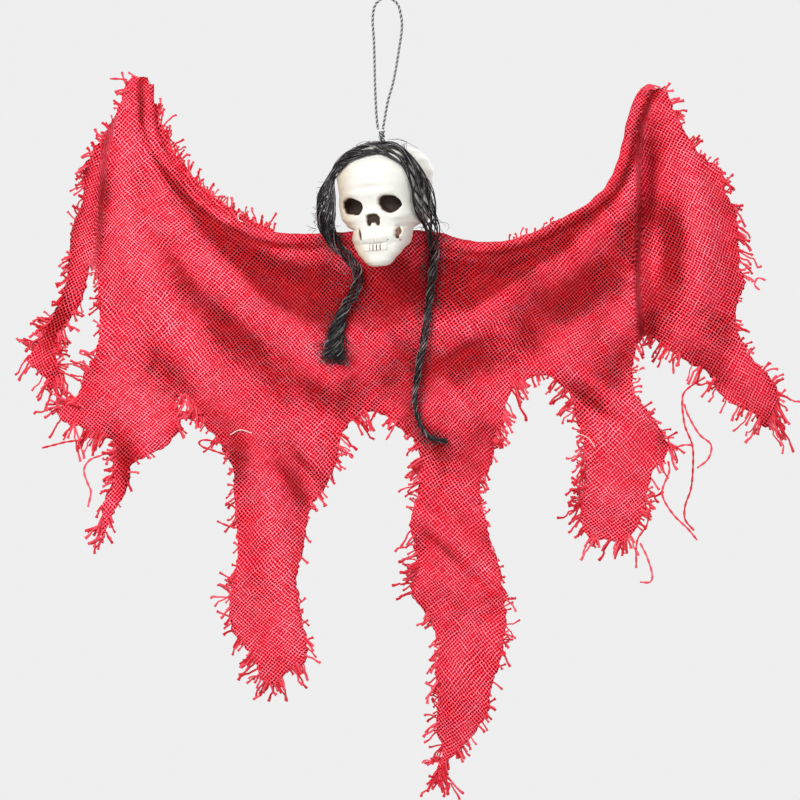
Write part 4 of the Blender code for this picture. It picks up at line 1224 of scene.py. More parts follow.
@dataclass
class Robe:
    """The torn gauze robe: one high-resolution sheet over the wire, its raw hem and its thread ends."""

    wire: ArmWire
    drape: Drape
    spacing: float = 1.6 * MM
    thickness: float = 0.45 * MM
    pitch: float = 1.45 * MM
    weave_turn: float = math.radians(43)
    thread_radius: float = 0.50 * MM
    hem_width: float = 8.0 * MM
    raw_hem_rise: float = 3.4 * MM
    unravelled: float = 0.78

    def weave(self, flat: Rows) -> Rows:
        """Returns thread counts along both sets of threads.

        Args:
            flat: rows of X and Z of the cloth laid flat.

        Returns:
            Rows of two counts and a zero.
        """
        x, z = flat[:, 0], flat[:, 1]
        sway = 0.10 * np.abs(x - 10 * MM) + 2.2 * MM * Ripple(11, 90 * MM).at(flat)
        lean = 2.2 * MM * Ripple(12, 80 * MM).at(flat)
        gap, side, _ = line_gap(self.drape.right_turn, flat)
        beyond = ramp(-2 * MM, 2 * MM, side * gap)
        gap, side, _ = line_gap(self.drape.left_turn, flat)
        behind = ramp(-2 * MM, 2 * MM, -side * gap)
        turn = self.weave_turn + 0.35 * beyond - 0.3 * behind
        across = (x + lean) * np.cos(turn) + (z + sway) * np.sin(turn)
        along = -(x + lean) * np.sin(turn) + (z + sway) * np.cos(turn)
        return np.stack([across / self.pitch, along / self.pitch, np.zeros(len(x))], axis=1)

    def outline(self) -> tuple[Rows, Rows]:
        """Returns the wire's route and the frayed torn edge, as rows of X and Z."""
        top = self.wire.route(self.spacing)[:, [0, 2]]
        edge = smooth_line(self.drape.torn_edge(), 1.3 * MM)
        along = tangents(edge)
        out = left_of(along)
        fray = 0.45 * Ripple(21, 4.5 * MM).at(edge) + 0.25 * Ripple(22, 2.2 * MM).at(edge)
        length, density = self.tufted(edge)
        retreat = self.unravelled * np.clip(length - 2.2, 0, 8) * np.clip(density, 0, 1)
        fray -= np.minimum(retreat, 0.30 * self.width_at(edge, out) / MM)
        fray *= ramp(0, 12, np.arange(len(edge))) * ramp(0, 12, np.arange(len(edge))[::-1])
        return top, edge + out * fray[:, None] * MM

    @staticmethod
    def width_at(edge: Rows, out: Rows) -> Rows:
        """Returns how wide the cloth is behind each place of its torn edge.

        Args:
            edge: evenly spaced rows of X and Z.
            out: the outward direction there.

        Returns:
            One width to a row, 60 mm at the most.
        """
        span = np.linalg.norm(edge[1] - edge[0])
        apart = edge[None] - edge[:, None]
        gap = np.linalg.norm(apart, axis=2)
        inward = (apart * -out[:, None]).sum(2) > 0.5 * gap
        steps = np.abs(np.arange(len(edge))[None] - np.arange(len(edge))[:, None])
        gap[~inward | (steps * span < 6 * MM)] = 60 * MM
        return np.minimum(gap.min(1), 60 * MM)

    @staticmethod
    def tufted(edge: Rows) -> tuple[Rows, Rows]:
        """Returns the length in millimetres and the density of the fringe along the torn edge.

        Args:
            edge: rows of X and Z.

        Returns:
            One length and one density to a row.
        """
        length, density = np.full(len(edge), 3.4), np.full(len(edge), 0.7)
        for tuft in TUFTS:
            gap = np.linalg.norm(edge - np.array(front(*tuft.centre)), axis=1)
            weight = bump(gap, tuft.reach_round * STEP)
            length += (tuft.length - length) * weight
            density += (tuft.density - density) * weight
        return length, density

    def inner(self, outline: Rows) -> Rows:
        """Returns staggered places inside an outline.

        Args:
            outline: rows of X and Z.

        Returns:
            Rows of X and Z, none nearer to the outline than half the spacing.
        """
        low, high = outline.min(0), outline.max(0)
        row = self.spacing * math.sqrt(3) / 2
        zs, xs = np.arange(low[1], high[1], row), np.arange(low[0], high[0], self.spacing)
        grid = np.stack(np.meshgrid(xs, zs), axis=2)
        grid[1::2, :, 0] += self.spacing / 2
        grid = grid.reshape(-1, 2)
        grid = grid[inside(outline, grid)]
        gap, _, _ = line_gap(np.vstack([outline, outline[:1]]), grid)
        return grid[gap > self.spacing * 0.55]

    def thicken(self, piece: Piece) -> None:
        """Gives a layer of cloth its thickness, half of it on either side."""
        wall = piece.modifiers.new("cloth", "SOLIDIFY")
        wall.thickness, wall.offset = self.thickness, 0.0

    def build_sheet(self, material: Material) -> Piece:
        """Builds the robe: its front, the roll over the wire and the hem behind it.

        Args:
            material: the gauze.

        Returns:
            The sheet.
        """
        top, edge = self.outline()
        ring = np.vstack([top, edge])
        places = np.vstack([ring, self.inner(ring)])
        flat, _, faces, _, _, _ = delaunay_2d_cdt([Vector(p) for p in places * PER_METRE], [],
                                                  [list(range(len(ring)))], 1, 1e-5)
        flat = np.array([(p.x, p.y) for p in flat]) / PER_METRE
        points = np.stack([flat[:, 0], self.drape.depth(flat), flat[:, 1]], axis=1)
        cloth = [flat]
        rows = [np.arange(len(top))]
        route = self.wire.route(self.spacing)
        up = self.wire.upper_side(route)
        radius = self.drape.roll_radius
        steps = [(math.radians(a), 0.0) for a in range(20, 181, 20)]
        steps += [(math.pi, self.hem_width * share) for share in (0.2, 0.4, 0.6, 0.8, 1.0)]
        faces = [list(face) for face in faces]
        for angle, lowered in steps:
            wave = 0.25 * MM * Ripple(31, 9 * MM).at(top) * math.sin(angle)
            lift = math.sin(angle) * radius + wave - lowered
            back = np.full(len(top), WIRE_BACK - math.cos(angle) * radius)
            layer = np.stack([top[:, 0] + up[:, 0] * lift, back, top[:, 1] + up[:, 1] * lift], axis=1)
            rows.append(np.arange(len(top)) + len(points))
            points = np.vstack([points, layer])
            cloth.append(top + up * (angle * radius + lowered))
        for lower, upper in zip(rows, rows[1:]):
            faces += np.stack([lower[:-1], lower[1:], upper[1:], upper[:-1]], axis=1).tolist()
        cloth_flat = np.vstack(cloth)
        # painted light and shade on the front of the sheet; the roll and the hem keep one middle level
        painted_light = np.full(len(points), 0.4)
        painted_light[:len(flat)] = self.drape.painted_light(flat)
        sheet = mesh_piece("robe_sheet", points, faces, material,
                           {"weave": self.weave(cloth_flat), "painted_light": painted_light})
        face_outwards(sheet)
        self.thicken(sheet)
        LOG.info("robe sheet: %d points, %d faces", len(points), len(faces))
        return sheet

    def raw_hem(self, material: Material) -> tuple[Piece, Rows]:
        """Builds the raw edge that stands up behind the roll on the left arm.

        Args:
            material: the gauze.

        Returns:
            The strip, and its upper edge as rows of X, Y and Z.
        """
        route = self.wire.route(self.spacing)
        up = self.wire.upper_side(route)
        low_x, high_x = front(150, 0)[0], front(275, 0)[0]
        keep = (route[:, 0] > low_x) & (route[:, 0] < high_x)
        base, up = route[keep][:, [0, 2]], up[keep]
        share = np.linspace(0, 1, len(base))
        rise = self.raw_hem_rise * np.sin(math.pi * share) ** 0.5 + 0.7 * MM * Ripple(41, 7 * MM).at(base)
        points, cloth = [], []
        for step in np.linspace(0, 1, 7):
            lift = self.drape.roll_radius * 0.2 + (rise + self.drape.roll_radius) * step
            back = WIRE_BACK + 1.2 * MM + 0.8 * MM * step + 0.4 * MM * Ripple(42, 6 * MM).at(base)
            place = base + up * lift[:, None]
            points.append(np.stack([place[:, 0], back, place[:, 1]], axis=1))
            cloth.append(base + up * (8 * MM + lift)[:, None])
        width = len(base)
        faces = [[r * width + i, r * width + i + 1, (r + 1) * width + i + 1, (r + 1) * width + i]
                 for r in range(6) for i in range(width - 1)]
        # the raw hem keeps one middle level of painted light
        strip = mesh_piece("raw_hem", np.vstack(points), faces, material,
                           {"weave": self.weave(np.vstack(cloth)), "painted_light": np.full(width * 7, 0.4)})
        self.thicken(strip)
        return strip, points[-1]

    def fringe_seeds(self) -> bpy.types.Mesh:
        """Returns the points that thread ends grow from, with their directions and lengths."""
        rng = np.random.default_rng(7)
        _, edge = self.outline()
        edge = even_line(edge, 0.55 * MM)
        along = tangents(edge)
        out = left_of(along)
        length, density = self.tufted(edge)
        clump = 0.55 + 0.9 * np.clip(Ripple(51, 6 * MM).at(edge), -0.5, 1)
        picked = rng.random(len(edge)) < 0.62 * density * clump
        narrow = ramp(13 * MM, 5 * MM, self.width_at(edge, out))[picked]
        base, out, length = edge[picked], out[picked], length[picked]
        axis = self.weave_axes(base, out)
        mixed = out * 0.45 + axis * 0.85 + rng.normal(0, 0.11, out.shape)
        mixed += 0.22 * np.stack([Ripple(52, 9 * MM).at(base), Ripple(53, 9 * MM).at(base)], axis=1)
        mixed += narrow[:, None] * np.array((-0.15, -1.1))
        mixed /= np.linalg.norm(mixed, axis=1, keepdims=True)
        root = base - mixed * 1.4 * MM
        depth = self.drape.depth(root)
        reach = (1.6 + length * rng.gamma(4.0, 0.24, len(base)).clip(0.25, 1.9)) * MM
        direction = np.stack([mixed[:, 0], rng.normal(0, 0.3, len(base)), mixed[:, 1]], axis=1)
        points = np.stack([root[:, 0], depth + rng.normal(0, 0.25 * MM, len(base)), root[:, 1]], axis=1)
        return self.seed_mesh("fringe", points, direction, reach, rng)

    def weave_axes(self, places: Rows, out: Rows) -> Rows:
        """Returns the thread direction that points most nearly outwards at each place.

        Args:
            places: rows of X and Z.
            out: outward directions there.

        Returns:
            Unit rows of X and Z.
        """
        step = 0.2 * MM
        middle = self.weave(places)[:, :2]
        dx = (self.weave(places + (step, 0))[:, :2] - middle) / step
        dz = (self.weave(places + (0, step))[:, :2] - middle) / step
        best = np.zeros_like(out)
        score = np.full(len(out), -1.0)
        for axis in (0, 1):
            across = np.stack([dx[:, axis], dz[:, axis]], axis=1)
            thread = left_of(across)
            thread /= np.linalg.norm(thread, axis=1, keepdims=True)
            for sign in (-1, 1):
                fit = (thread * sign * out).sum(1)
                better = fit > score
                best[better], score[better] = (thread * sign)[better], fit[better]
        return best

    def seed_mesh(self, name: str, points: Rows, direction: Rows, reach: Rows,
                  rng: np.random.Generator) -> bpy.types.Mesh:
        """Returns a mesh of seed points for a fringe tree.

        Args:
            name: the mesh's name.
            points: rows of X, Y and Z.
            direction: the way each thread points.
            reach: each thread's length.
            rng: the source of the other values.

        Returns:
            The mesh.
        """
        mesh = bpy.data.meshes.new(name + "_seeds")
        mesh.from_pydata(points.tolist(), [], [])
        count = len(points)
        write_values(mesh, {"out": direction, "reach": reach, "seed": rng.uniform(0, 90, count),
                            "tone": rng.uniform(0.25, 1.0, count), "girth": rng.uniform(0.75, 1.2, count)})
        return mesh

    def hem_seeds(self, hem_line: Rows) -> bpy.types.Mesh:
        """Returns the seeds of the short threads that stand up from the raw hem and from the right arm.

        Args:
            hem_line: the raw hem's upper edge.

        Returns:
            The mesh of seeds.
        """
        rng = np.random.default_rng(17)
        line = even_line(hem_line, 0.7 * MM)
        line = line[rng.random(len(line)) < 0.8]
        right = self.wire.route(1 * MM)
        low_x, high_x = front(508, 0)[0], front(568, 0)[0]
        right = right[(right[:, 0] > low_x) & (right[:, 0] < high_x) & (rng.random(len(right)) < 0.42)]
        right = right + (0, 1 * MM, 1.6 * MM)
        points = np.vstack([line, right])
        lean = rng.normal(0, 0.45, (len(points), 3)) + (0.25, 0.0, 0.9)
        lean[:, 1] *= 0.5
        reach = rng.gamma(3.0, 1.35, len(points)).clip(1.0, 8.0) * MM
        return self.seed_mesh("hem_fringe", points - (0, 0, 0.8 * MM), lean, reach, rng)

    def build(self) -> list[Piece]:
        """Builds the sheet, the raw hem and every thread end.

        Returns:
            The pieces, the sheet first.
        """
        gauze, thread = GauzeFinish().build(), ThreadFinish().build()
        sheet = self.build_sheet(gauze)
        hem, hem_line = self.raw_hem(gauze)
        ends = FringeTree("torn_threads", self.thread_radius, 0.30, 0.14, 0.6)
        fringe = ends.run("torn_fringe", self.fringe_seeds(), thread)
        stubs = FringeTree("hem_threads", self.thread_radius * 0.9, 0.55, 0.0, 0.5)
        hem_fringe = stubs.run("hem_fringe", self.hem_seeds(hem_line), thread)
        for piece in (sheet, hem, fringe, hem_fringe):
            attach(piece, "root")
        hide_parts("robe")
        return [sheet, hem, fringe, hem_fringe]


@dataclass(frozen=True)
class EyeSocket:
    """One eye: its place, half sizes and rim in millimetres, its turn in degrees and its squareness."""

    centre: Pair
    half: Pair
    rim_outside: Pair
    rim_inside: Pair
    turn: float
    power: float


EYE_SOCKETS = (EyeSocket((-10.9, 11.6), (5.5, 3.75), (5.7, 3.95), (5.0, 3.35), -12, 2.8),
               EyeSocket((8.8, 11.5), (4.9, 4.0), (5.1, 4.2), (4.4, 3.5), -20, 2.3))


@dataclass
class Skull:
    """The plastic skull that stands on the roll of the cloth."""

    rings: int = 150
    segments: int = 190
    face_share: float = 0.5
    ring_base: float = 19.0

    def placing(self) -> Matrix:
        """Returns the matrix that seats, turns and tilts the skull."""
        turned = Matrix.Rotation(-SKULL_YAW, 4, "Z")
        tilted = Matrix.Rotation(-SKULL_ROLL, 4, "Y")
        return Matrix.Translation(SKULL_SEAT) @ tilted @ turned

    def sections(self, levels: Rows) -> Rows:
        """Returns half width, front, back and squareness at several levels.

        Args:
            levels: heights in the rings' own proportions.

        Returns:
            One row to a level.
        """
        heights = np.array([ring[0] for ring in SKULL_RINGS])
        values = np.array([ring[1:] for ring in SKULL_RINGS])
        index = np.clip(np.searchsorted(heights, levels) - 1, 0, len(heights) - 2)
        share = (levels - heights[index]) / (heights[index + 1] - heights[index])
        share = (share * share * (3 - 2 * share) * 0.5 + share * 0.5)[:, None]
        return values[index] * (1 - share) + values[index + 1] * share

    @staticmethod
    def pit(x: Rows, z: Rows, centre: Pair, half: Pair, turn: float = 0.0, power: float = 2.0,
            soft: float = 0.22) -> Rows:
        """Returns a hollow with a firm rim, 1 inside and 0 outside.

        Args:
            x: places across the face, in millimetres.
            z: places up the face from the skull's base.
            centre: the hollow's centre.
            half: its half width and half height.
            turn: how far it is turned, in degrees.
            power: 2 for an oval, more for a squarer one.
            soft: how wide its rim is, as a share.

        Returns:
            One value to a place.
        """
        c, s = math.cos(math.radians(turn)), math.sin(math.radians(turn))
        dx, dz = x - centre[0], z - centre[1]
        across, up = (dx * c + dz * s) / half[0], (dz * c - dx * s) / half[1]
        reach = (np.abs(across) ** power + np.abs(up) ** power) ** (1 / power)
        return ramp(1 + soft, 1 - soft, reach)

    def relief(self, x: Rows, z: Rows) -> tuple[Rows, Rows]:
        """Returns how far the face is sunk, in millimetres, and how brown its wash is.

        Args:
            x: places across the face, in millimetres.
            z: places up from the base.

        Returns:
            Sunk depth and wash, one value each to a place.
        """
        warp_x = x + 0.22 * np.sin(z * 1.0 + 0.6) + 0.1 * np.sin(z * 2.3)
        warp_z = z + 0.22 * np.sin(x * 0.8 + 1.1)
        eyes = sum(self.pit(warp_x, warp_z, eye.centre, eye.half, eye.turn, eye.power, 0.16)
                   for eye in EYE_SOCKETS)
        nose = self.pit(warp_x, z, (0.1, 4.9), (3.3, 2.2), 0, 2.6, 0.22)
        lobes = self.pit(x, z, (-2.1, 2.9), (1.1, 1.7)) + self.pit(x, z, (2.5, 2.9), (1.2, 1.8))
        nose = np.clip(nose + lobes, 0, 1)
        cheeks = (self.pit(warp_x, z, (11.5, -2.9), (1.25, 3.0), -8, 2, 0.45)
                  + 1.3 * self.pit(x, z, (-7.3, -2.9), (0.6, 2.9), 8, 2, 0.5))
        spots = (self.pit(x, z, (11.3, -5.4), (0.8, 0.8)) + self.pit(x, z, (12.1, -6.8), (0.5, 0.6))
                 + self.pit(x, z, (6.9, -6.3), (0.9, 0.25), 25) + self.pit(x, z, (7.6, -8.4), (0.7, 0.2), 10))
        rim = self.rims(warp_x, warp_z)
        sunk = 7.0 * eyes + 2.6 * nose + 1.6 * cheeks
        sunk += 1.1 * bump(np.abs(x) - 13.5, 2.6) * bump(z + 3, 5.5)
        brow = bump(z - 17.6, 2.2) * bump(np.abs(x + 1) - 9.5, 6.0)
        cheekbone = bump(z - 4.6, 2.4) * bump(np.abs(x) - 12.5, 4.5)
        sunk -= 0.8 * brow + 1.1 * cheekbone
        sunk += 0.7 * bump(z - 20.5, 2.4) * bump(x + 0.5, 7) + 0.5 * bump(x, 2.4) * bump(z - 14, 4)
        sunk += 0.35 * bump(z + 13.0, 1.8) * bump(x, 7)
        teeth, lines = self.teeth(x, z)
        deep = np.clip(eyes * 1.0 + nose * 0.95 + cheeks * 0.62, 0, 1)
        wash = deep * 0.86 + lines + rim * 0.4 + spots * 0.45
        return sunk + teeth, np.clip(wash, 0, 1)

    def rims(self, x: Rows, z: Rows) -> Rows:
        """Returns the thin brown line that the wash leaves round the eyes.

        Args:
            x: places across the face, in millimetres.
            z: places up from the base.

        Returns:
            One value to a place.
        """
        wide = sum(self.pit(x, z, eye.centre, eye.rim_outside, eye.turn, eye.power, 0.10)
                   for eye in EYE_SOCKETS)
        narrow = sum(self.pit(x, z, eye.centre, eye.rim_inside, eye.turn, eye.power, 0.10)
                     for eye in EYE_SOCKETS)
        return np.clip(wide - narrow, 0, 1)

    @staticmethod
    def teeth(x: Rows, z: Rows) -> tuple[Rows, Rows]:
        """Returns the relief of the two rows of teeth and the wash between them.

        Args:
            x: places across the face, in millimetres.
            z: places up from the base.

        Returns:
            Sunk depth, minus where a tooth stands out, and wash.
        """
        near, wide = ramp(4.0, 2.6, np.abs(x - 0.6)), ramp(7.5, 5.5, np.abs(x))
        upper = ramp(-7.6, -7.0, z) * ramp(-3.4, -4.4, z)
        lower = ramp(-11.6, -10.8, z) * ramp(-7.7, -8.3, z)
        upper_gap = ramp(0.24, 0.06, np.abs(((x + 1.9) / 1.75 + 0.5) % 1.0 - 0.5)) * upper
        lower_gap = ramp(0.24, 0.06, np.abs(((x + 0.8) / 1.85 + 0.5) % 1.0 - 0.5)) * lower
        bite, root = bump(z + 7.6, 0.4), bump(z + 11.2, 0.45) * ramp(0.5, 0.2, lower_gap)
        sunk = wide * (0.35 * upper_gap + 0.7 * lower_gap - 0.9 * (upper + lower)) + near * 0.5 * bite
        faint = 0.4 + 0.6 * ramp(3.4, 1.6, np.abs(x + 0.6))
        brown = 0.20 * wide * (upper_gap * faint + lower_gap + bite * 0.5)
        return sunk, brown + near * (0.16 * upper_gap * faint + 0.50 * lower_gap + 0.26 * root)

    def build(self) -> Piece:
        """Builds the skull and its wash.

        Returns:
            The skull.
        """
        top = SKULL_RINGS[-1][0]
        levels = np.linspace(0, top, self.rings)
        sections = self.sections(levels)
        turn = FULL_TURN * np.arange(self.segments) / self.segments
        turn = turn - self.face_share * np.sin(turn)
        half, near, far, square = (sections[:, i][:, None] for i in range(4))
        sine, cosine = np.sin(turn)[None], np.cos(turn)[None]
        across = np.sign(sine) * np.abs(sine) ** (2 / square)
        ahead = np.sign(cosine) * np.abs(cosine) ** (2 / square)
        widest = max(ring[1] for ring in SKULL_RINGS)
        deepest = max(ring[3] for ring in SKULL_RINGS) - min(ring[2] for ring in SKULL_RINGS)
        x = across * half / widest * SKULL_WIDTH / 2
        y = ((near + far) / 2 - ahead * (far - near) / 2) / deepest * SKULL_DEPTH
        low = (levels / self.ring_base - 1) * JAW_DROP
        high = (levels - self.ring_base) / (top - self.ring_base) * CRANIUM_HEIGHT
        z = np.where(levels < self.ring_base, low, high)[:, None] * np.ones_like(x)
        temple = 2.3 * bump(z / MM - 12, 9) * ramp(2.6, 6.0, z / MM) - 1.2 * bump(z / MM + 0.5, 3.0)
        x = x - ramp(0.45, 1.0, -across) * temple * MM
        sunk, wash = self.relief(x / MM, z / MM)
        facing = ramp(0.0, 0.5, ahead)
        y = y + sunk * facing * MM
        points = np.stack([x, y, z], axis=2).reshape(-1, 3)
        placing = np.array(self.placing())
        placed = points @ placing[:3, :3].T + placing[:3, 3]
        # beige painted shade on the skull's left side, under its chin and round its sides and back
        painted_shade = ramp(0.05, 1.0, -across) * 1.0 + 0.08 * bump(z / MM + 16, 6) + 0.25 * (1 - facing)
        faces = ring_faces(self.rings, self.segments)
        skull = mesh_piece("skull_shell", placed, faces, BoneFinish().build(),
                           {"wash": (wash * facing).ravel(), "painted_shade": (painted_shade * np.ones_like(x)).ravel()})
        face_outwards(skull)
        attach(skull, "root")
        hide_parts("skull")
        LOG.info("skull: %d faces", len(skull.data.polygons))
        return skull


@dataclass
class TwistedCord:
    """The hanging loop: two plies twisted into one thin cord, and the knot that ties it."""

    pitch: float = 2.3 * MM
    sides: int = 12
    spacing: float = 0.45 * MM

    def leg(self, proportions: Line) -> Rows:
        """Returns one leg of the loop from its top to the knot, as rows of X, Y and Z."""
        lowest = proportions[-1][1]
        widest = max(abs(x) for x, _ in LEFT_LEG) + max(abs(x) for x, _ in RIGHT_LEG)
        return np.array([(x / widest * LOOP_OPENING, 0.0, -z / lowest * LOOP_DROP) for x, z in proportions])

    def route(self) -> Rows:
        """Returns the cord's centre line, up the left leg and down the right one."""
        top = np.array([(0, 0, CORD_DIAMETER / 2)])
        return smooth_line(np.vstack([self.leg(LEFT_LEG)[::-1], top, self.leg(RIGHT_LEG)]), self.spacing)

    def tube(self, name: str, route: Rows, radius: float,
             material: Material) -> Piece:
        """Builds a two-ply cord along a route.

        Args:
            name: the piece's name.
            route: rows of X, Y and Z.
            radius: the cord's radius.
            material: the cord finish.

        Returns:
            The cord.
        """
        along = tangents(route)
        side = np.cross(along, (0.0, 1.0, 0.0))
        side /= np.maximum(np.linalg.norm(side, axis=1, keepdims=True), 1e-9)
        depth = np.cross(along, side)
        travelled = distance_along(route)
        turn = FULL_TURN * np.arange(self.sides) / self.sides
        phase = turn[None] - (FULL_TURN * travelled / self.pitch)[:, None]
        reach = radius * np.maximum(np.abs(np.cos(phase)), 0.5)
        points = (route[:, None] + reach[..., None] * (np.cos(turn)[None, :, None] * side[:, None]
                                                       + np.sin(turn)[None, :, None] * depth[:, None]))
        cord = mesh_piece(name, points.reshape(-1, 3), ring_faces(len(route), self.sides), material,
                          {"ply": (np.cos(phase).ravel() + 1) / 2})
        face_outwards(cord)
        return cord

    def knot(self, material: Material) -> Piece:
        """Builds the knot as a cord wound round itself.

        Args:
            material: the cord finish.

        Returns:
            The knot.
        """
        turn = np.linspace(0, 1, 190)
        swell = 0.75 + 0.25 * np.cos(FULL_TURN * turn * 2)
        radius = (KNOT_DIAMETER / 2 - CORD_DIAMETER / 2 * 0.8) * swell
        spin = FULL_TURN * 4.3 * turn
        rise = (KNOT_DIAMETER - CORD_DIAMETER) * (0.5 - turn * 2.1)
        route = np.stack([CROWN.x + radius * np.cos(spin), CROWN.y + radius * np.sin(spin),
                          KNOT_Z + rise], axis=1)
        return self.tube("cord_knot_wound", route, CORD_DIAMETER / 2 * 0.8, material)

    def build(self) -> Piece:
        """Builds the loop and its knot.

        Returns:
            The cord.
        """
        material = CordFinish().build()
        route = self.route()
        cord = self.tube("cord_loop", route, CORD_DIAMETER / 2, material)
        knot = self.knot(material)
        for piece, node in ((cord, "hanging_cord"), (knot, "cord_knot")):
            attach(piece, "root")
            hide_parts(node)
        return cord


HAIR_ROUTE = (
    (333, 364, 15), (334, 354, 14), (335, 343, 12), (337, 330, 10), (340, 318, 9.5), (346, 305, 9.5),
    (354, 293, 10), (360, 281, 10), (357, 268, 10), (346, 255, 9.5), (333, 243, 9), (325, 230, 8.5),
    (321, 218, 9), (323, 204, 9.5), (326, 187, 9), (332, 172, 8.5), (343, 160, 7.5), (357, 153, 7),
    (371, 149.5, 7), (385, 150, 7), (398, 155, 9), (407, 165, 11), (413, 178, 12.5), (418, 192, 13),
    (421, 205, 12.5), (427, 217, 10), (433, 230, 9), (434, 250, 9), (433, 270, 8.5), (431, 290, 8),
    (428, 310, 7.5), (425, 334, 7.5), (421, 356, 7), (417, 376, 6.5), (415, 394, 5.5), (415, 408, 4.5),
    (419, 422, 4), (425, 434, 3.6), (435, 440, 3), (447, 441, 2.6))
STRAY_HAIRS = (
    ((307, 293), (311, 300), (323, 305), (335, 298)), ((323, 305), (326, 310), (328, 316)),
    ((336, 282), (343, 286), (350, 287)), ((360, 306), (363, 309), (365, 313)),
    ((336, 329), (330, 336), (321, 341), (311, 345), (302, 348)), ((330, 350), (334, 360), (330, 373)),
    ((346, 345), (353, 352), (354, 366)), ((341, 352), (336, 358), (338, 366)),
    ((315, 343), (314, 352), (322, 357), (328, 350)), ((345, 340), (357, 350), (352, 358), (345, 350)),
    ((399, 303), (406, 300), (413, 299), (423, 309)), ((419, 323), (412, 333), (408, 348)),
    ((393, 357), (402, 366), (411, 373)), ((436, 334), (442, 340), (447, 348)),
    ((441, 249), (447, 250), (453, 253)), ((432, 388), (427, 396), (423, 403)),
    ((413, 396), (410, 406), (408, 416)), ((415, 422), (420, 437), (427, 450)),
    ((430, 436), (440, 436), (448, 439)), ((428, 437), (433, 445), (436, 449)),
    ((436, 225), (443, 222), (450, 226), (447, 231)), ((433, 215), (440, 221), (446, 227)),
    ((392, 143), (399, 137), (404, 133), (408, 134)), ((388, 144), (395, 139), (402, 138)),
    ((400, 146), (409, 147), (418, 150)), ((356, 147), (362, 141), (370, 139), (376, 141)),
    ((328, 205), (333, 222), (332, 236)), ((322, 188), (321, 200), (317, 212)))


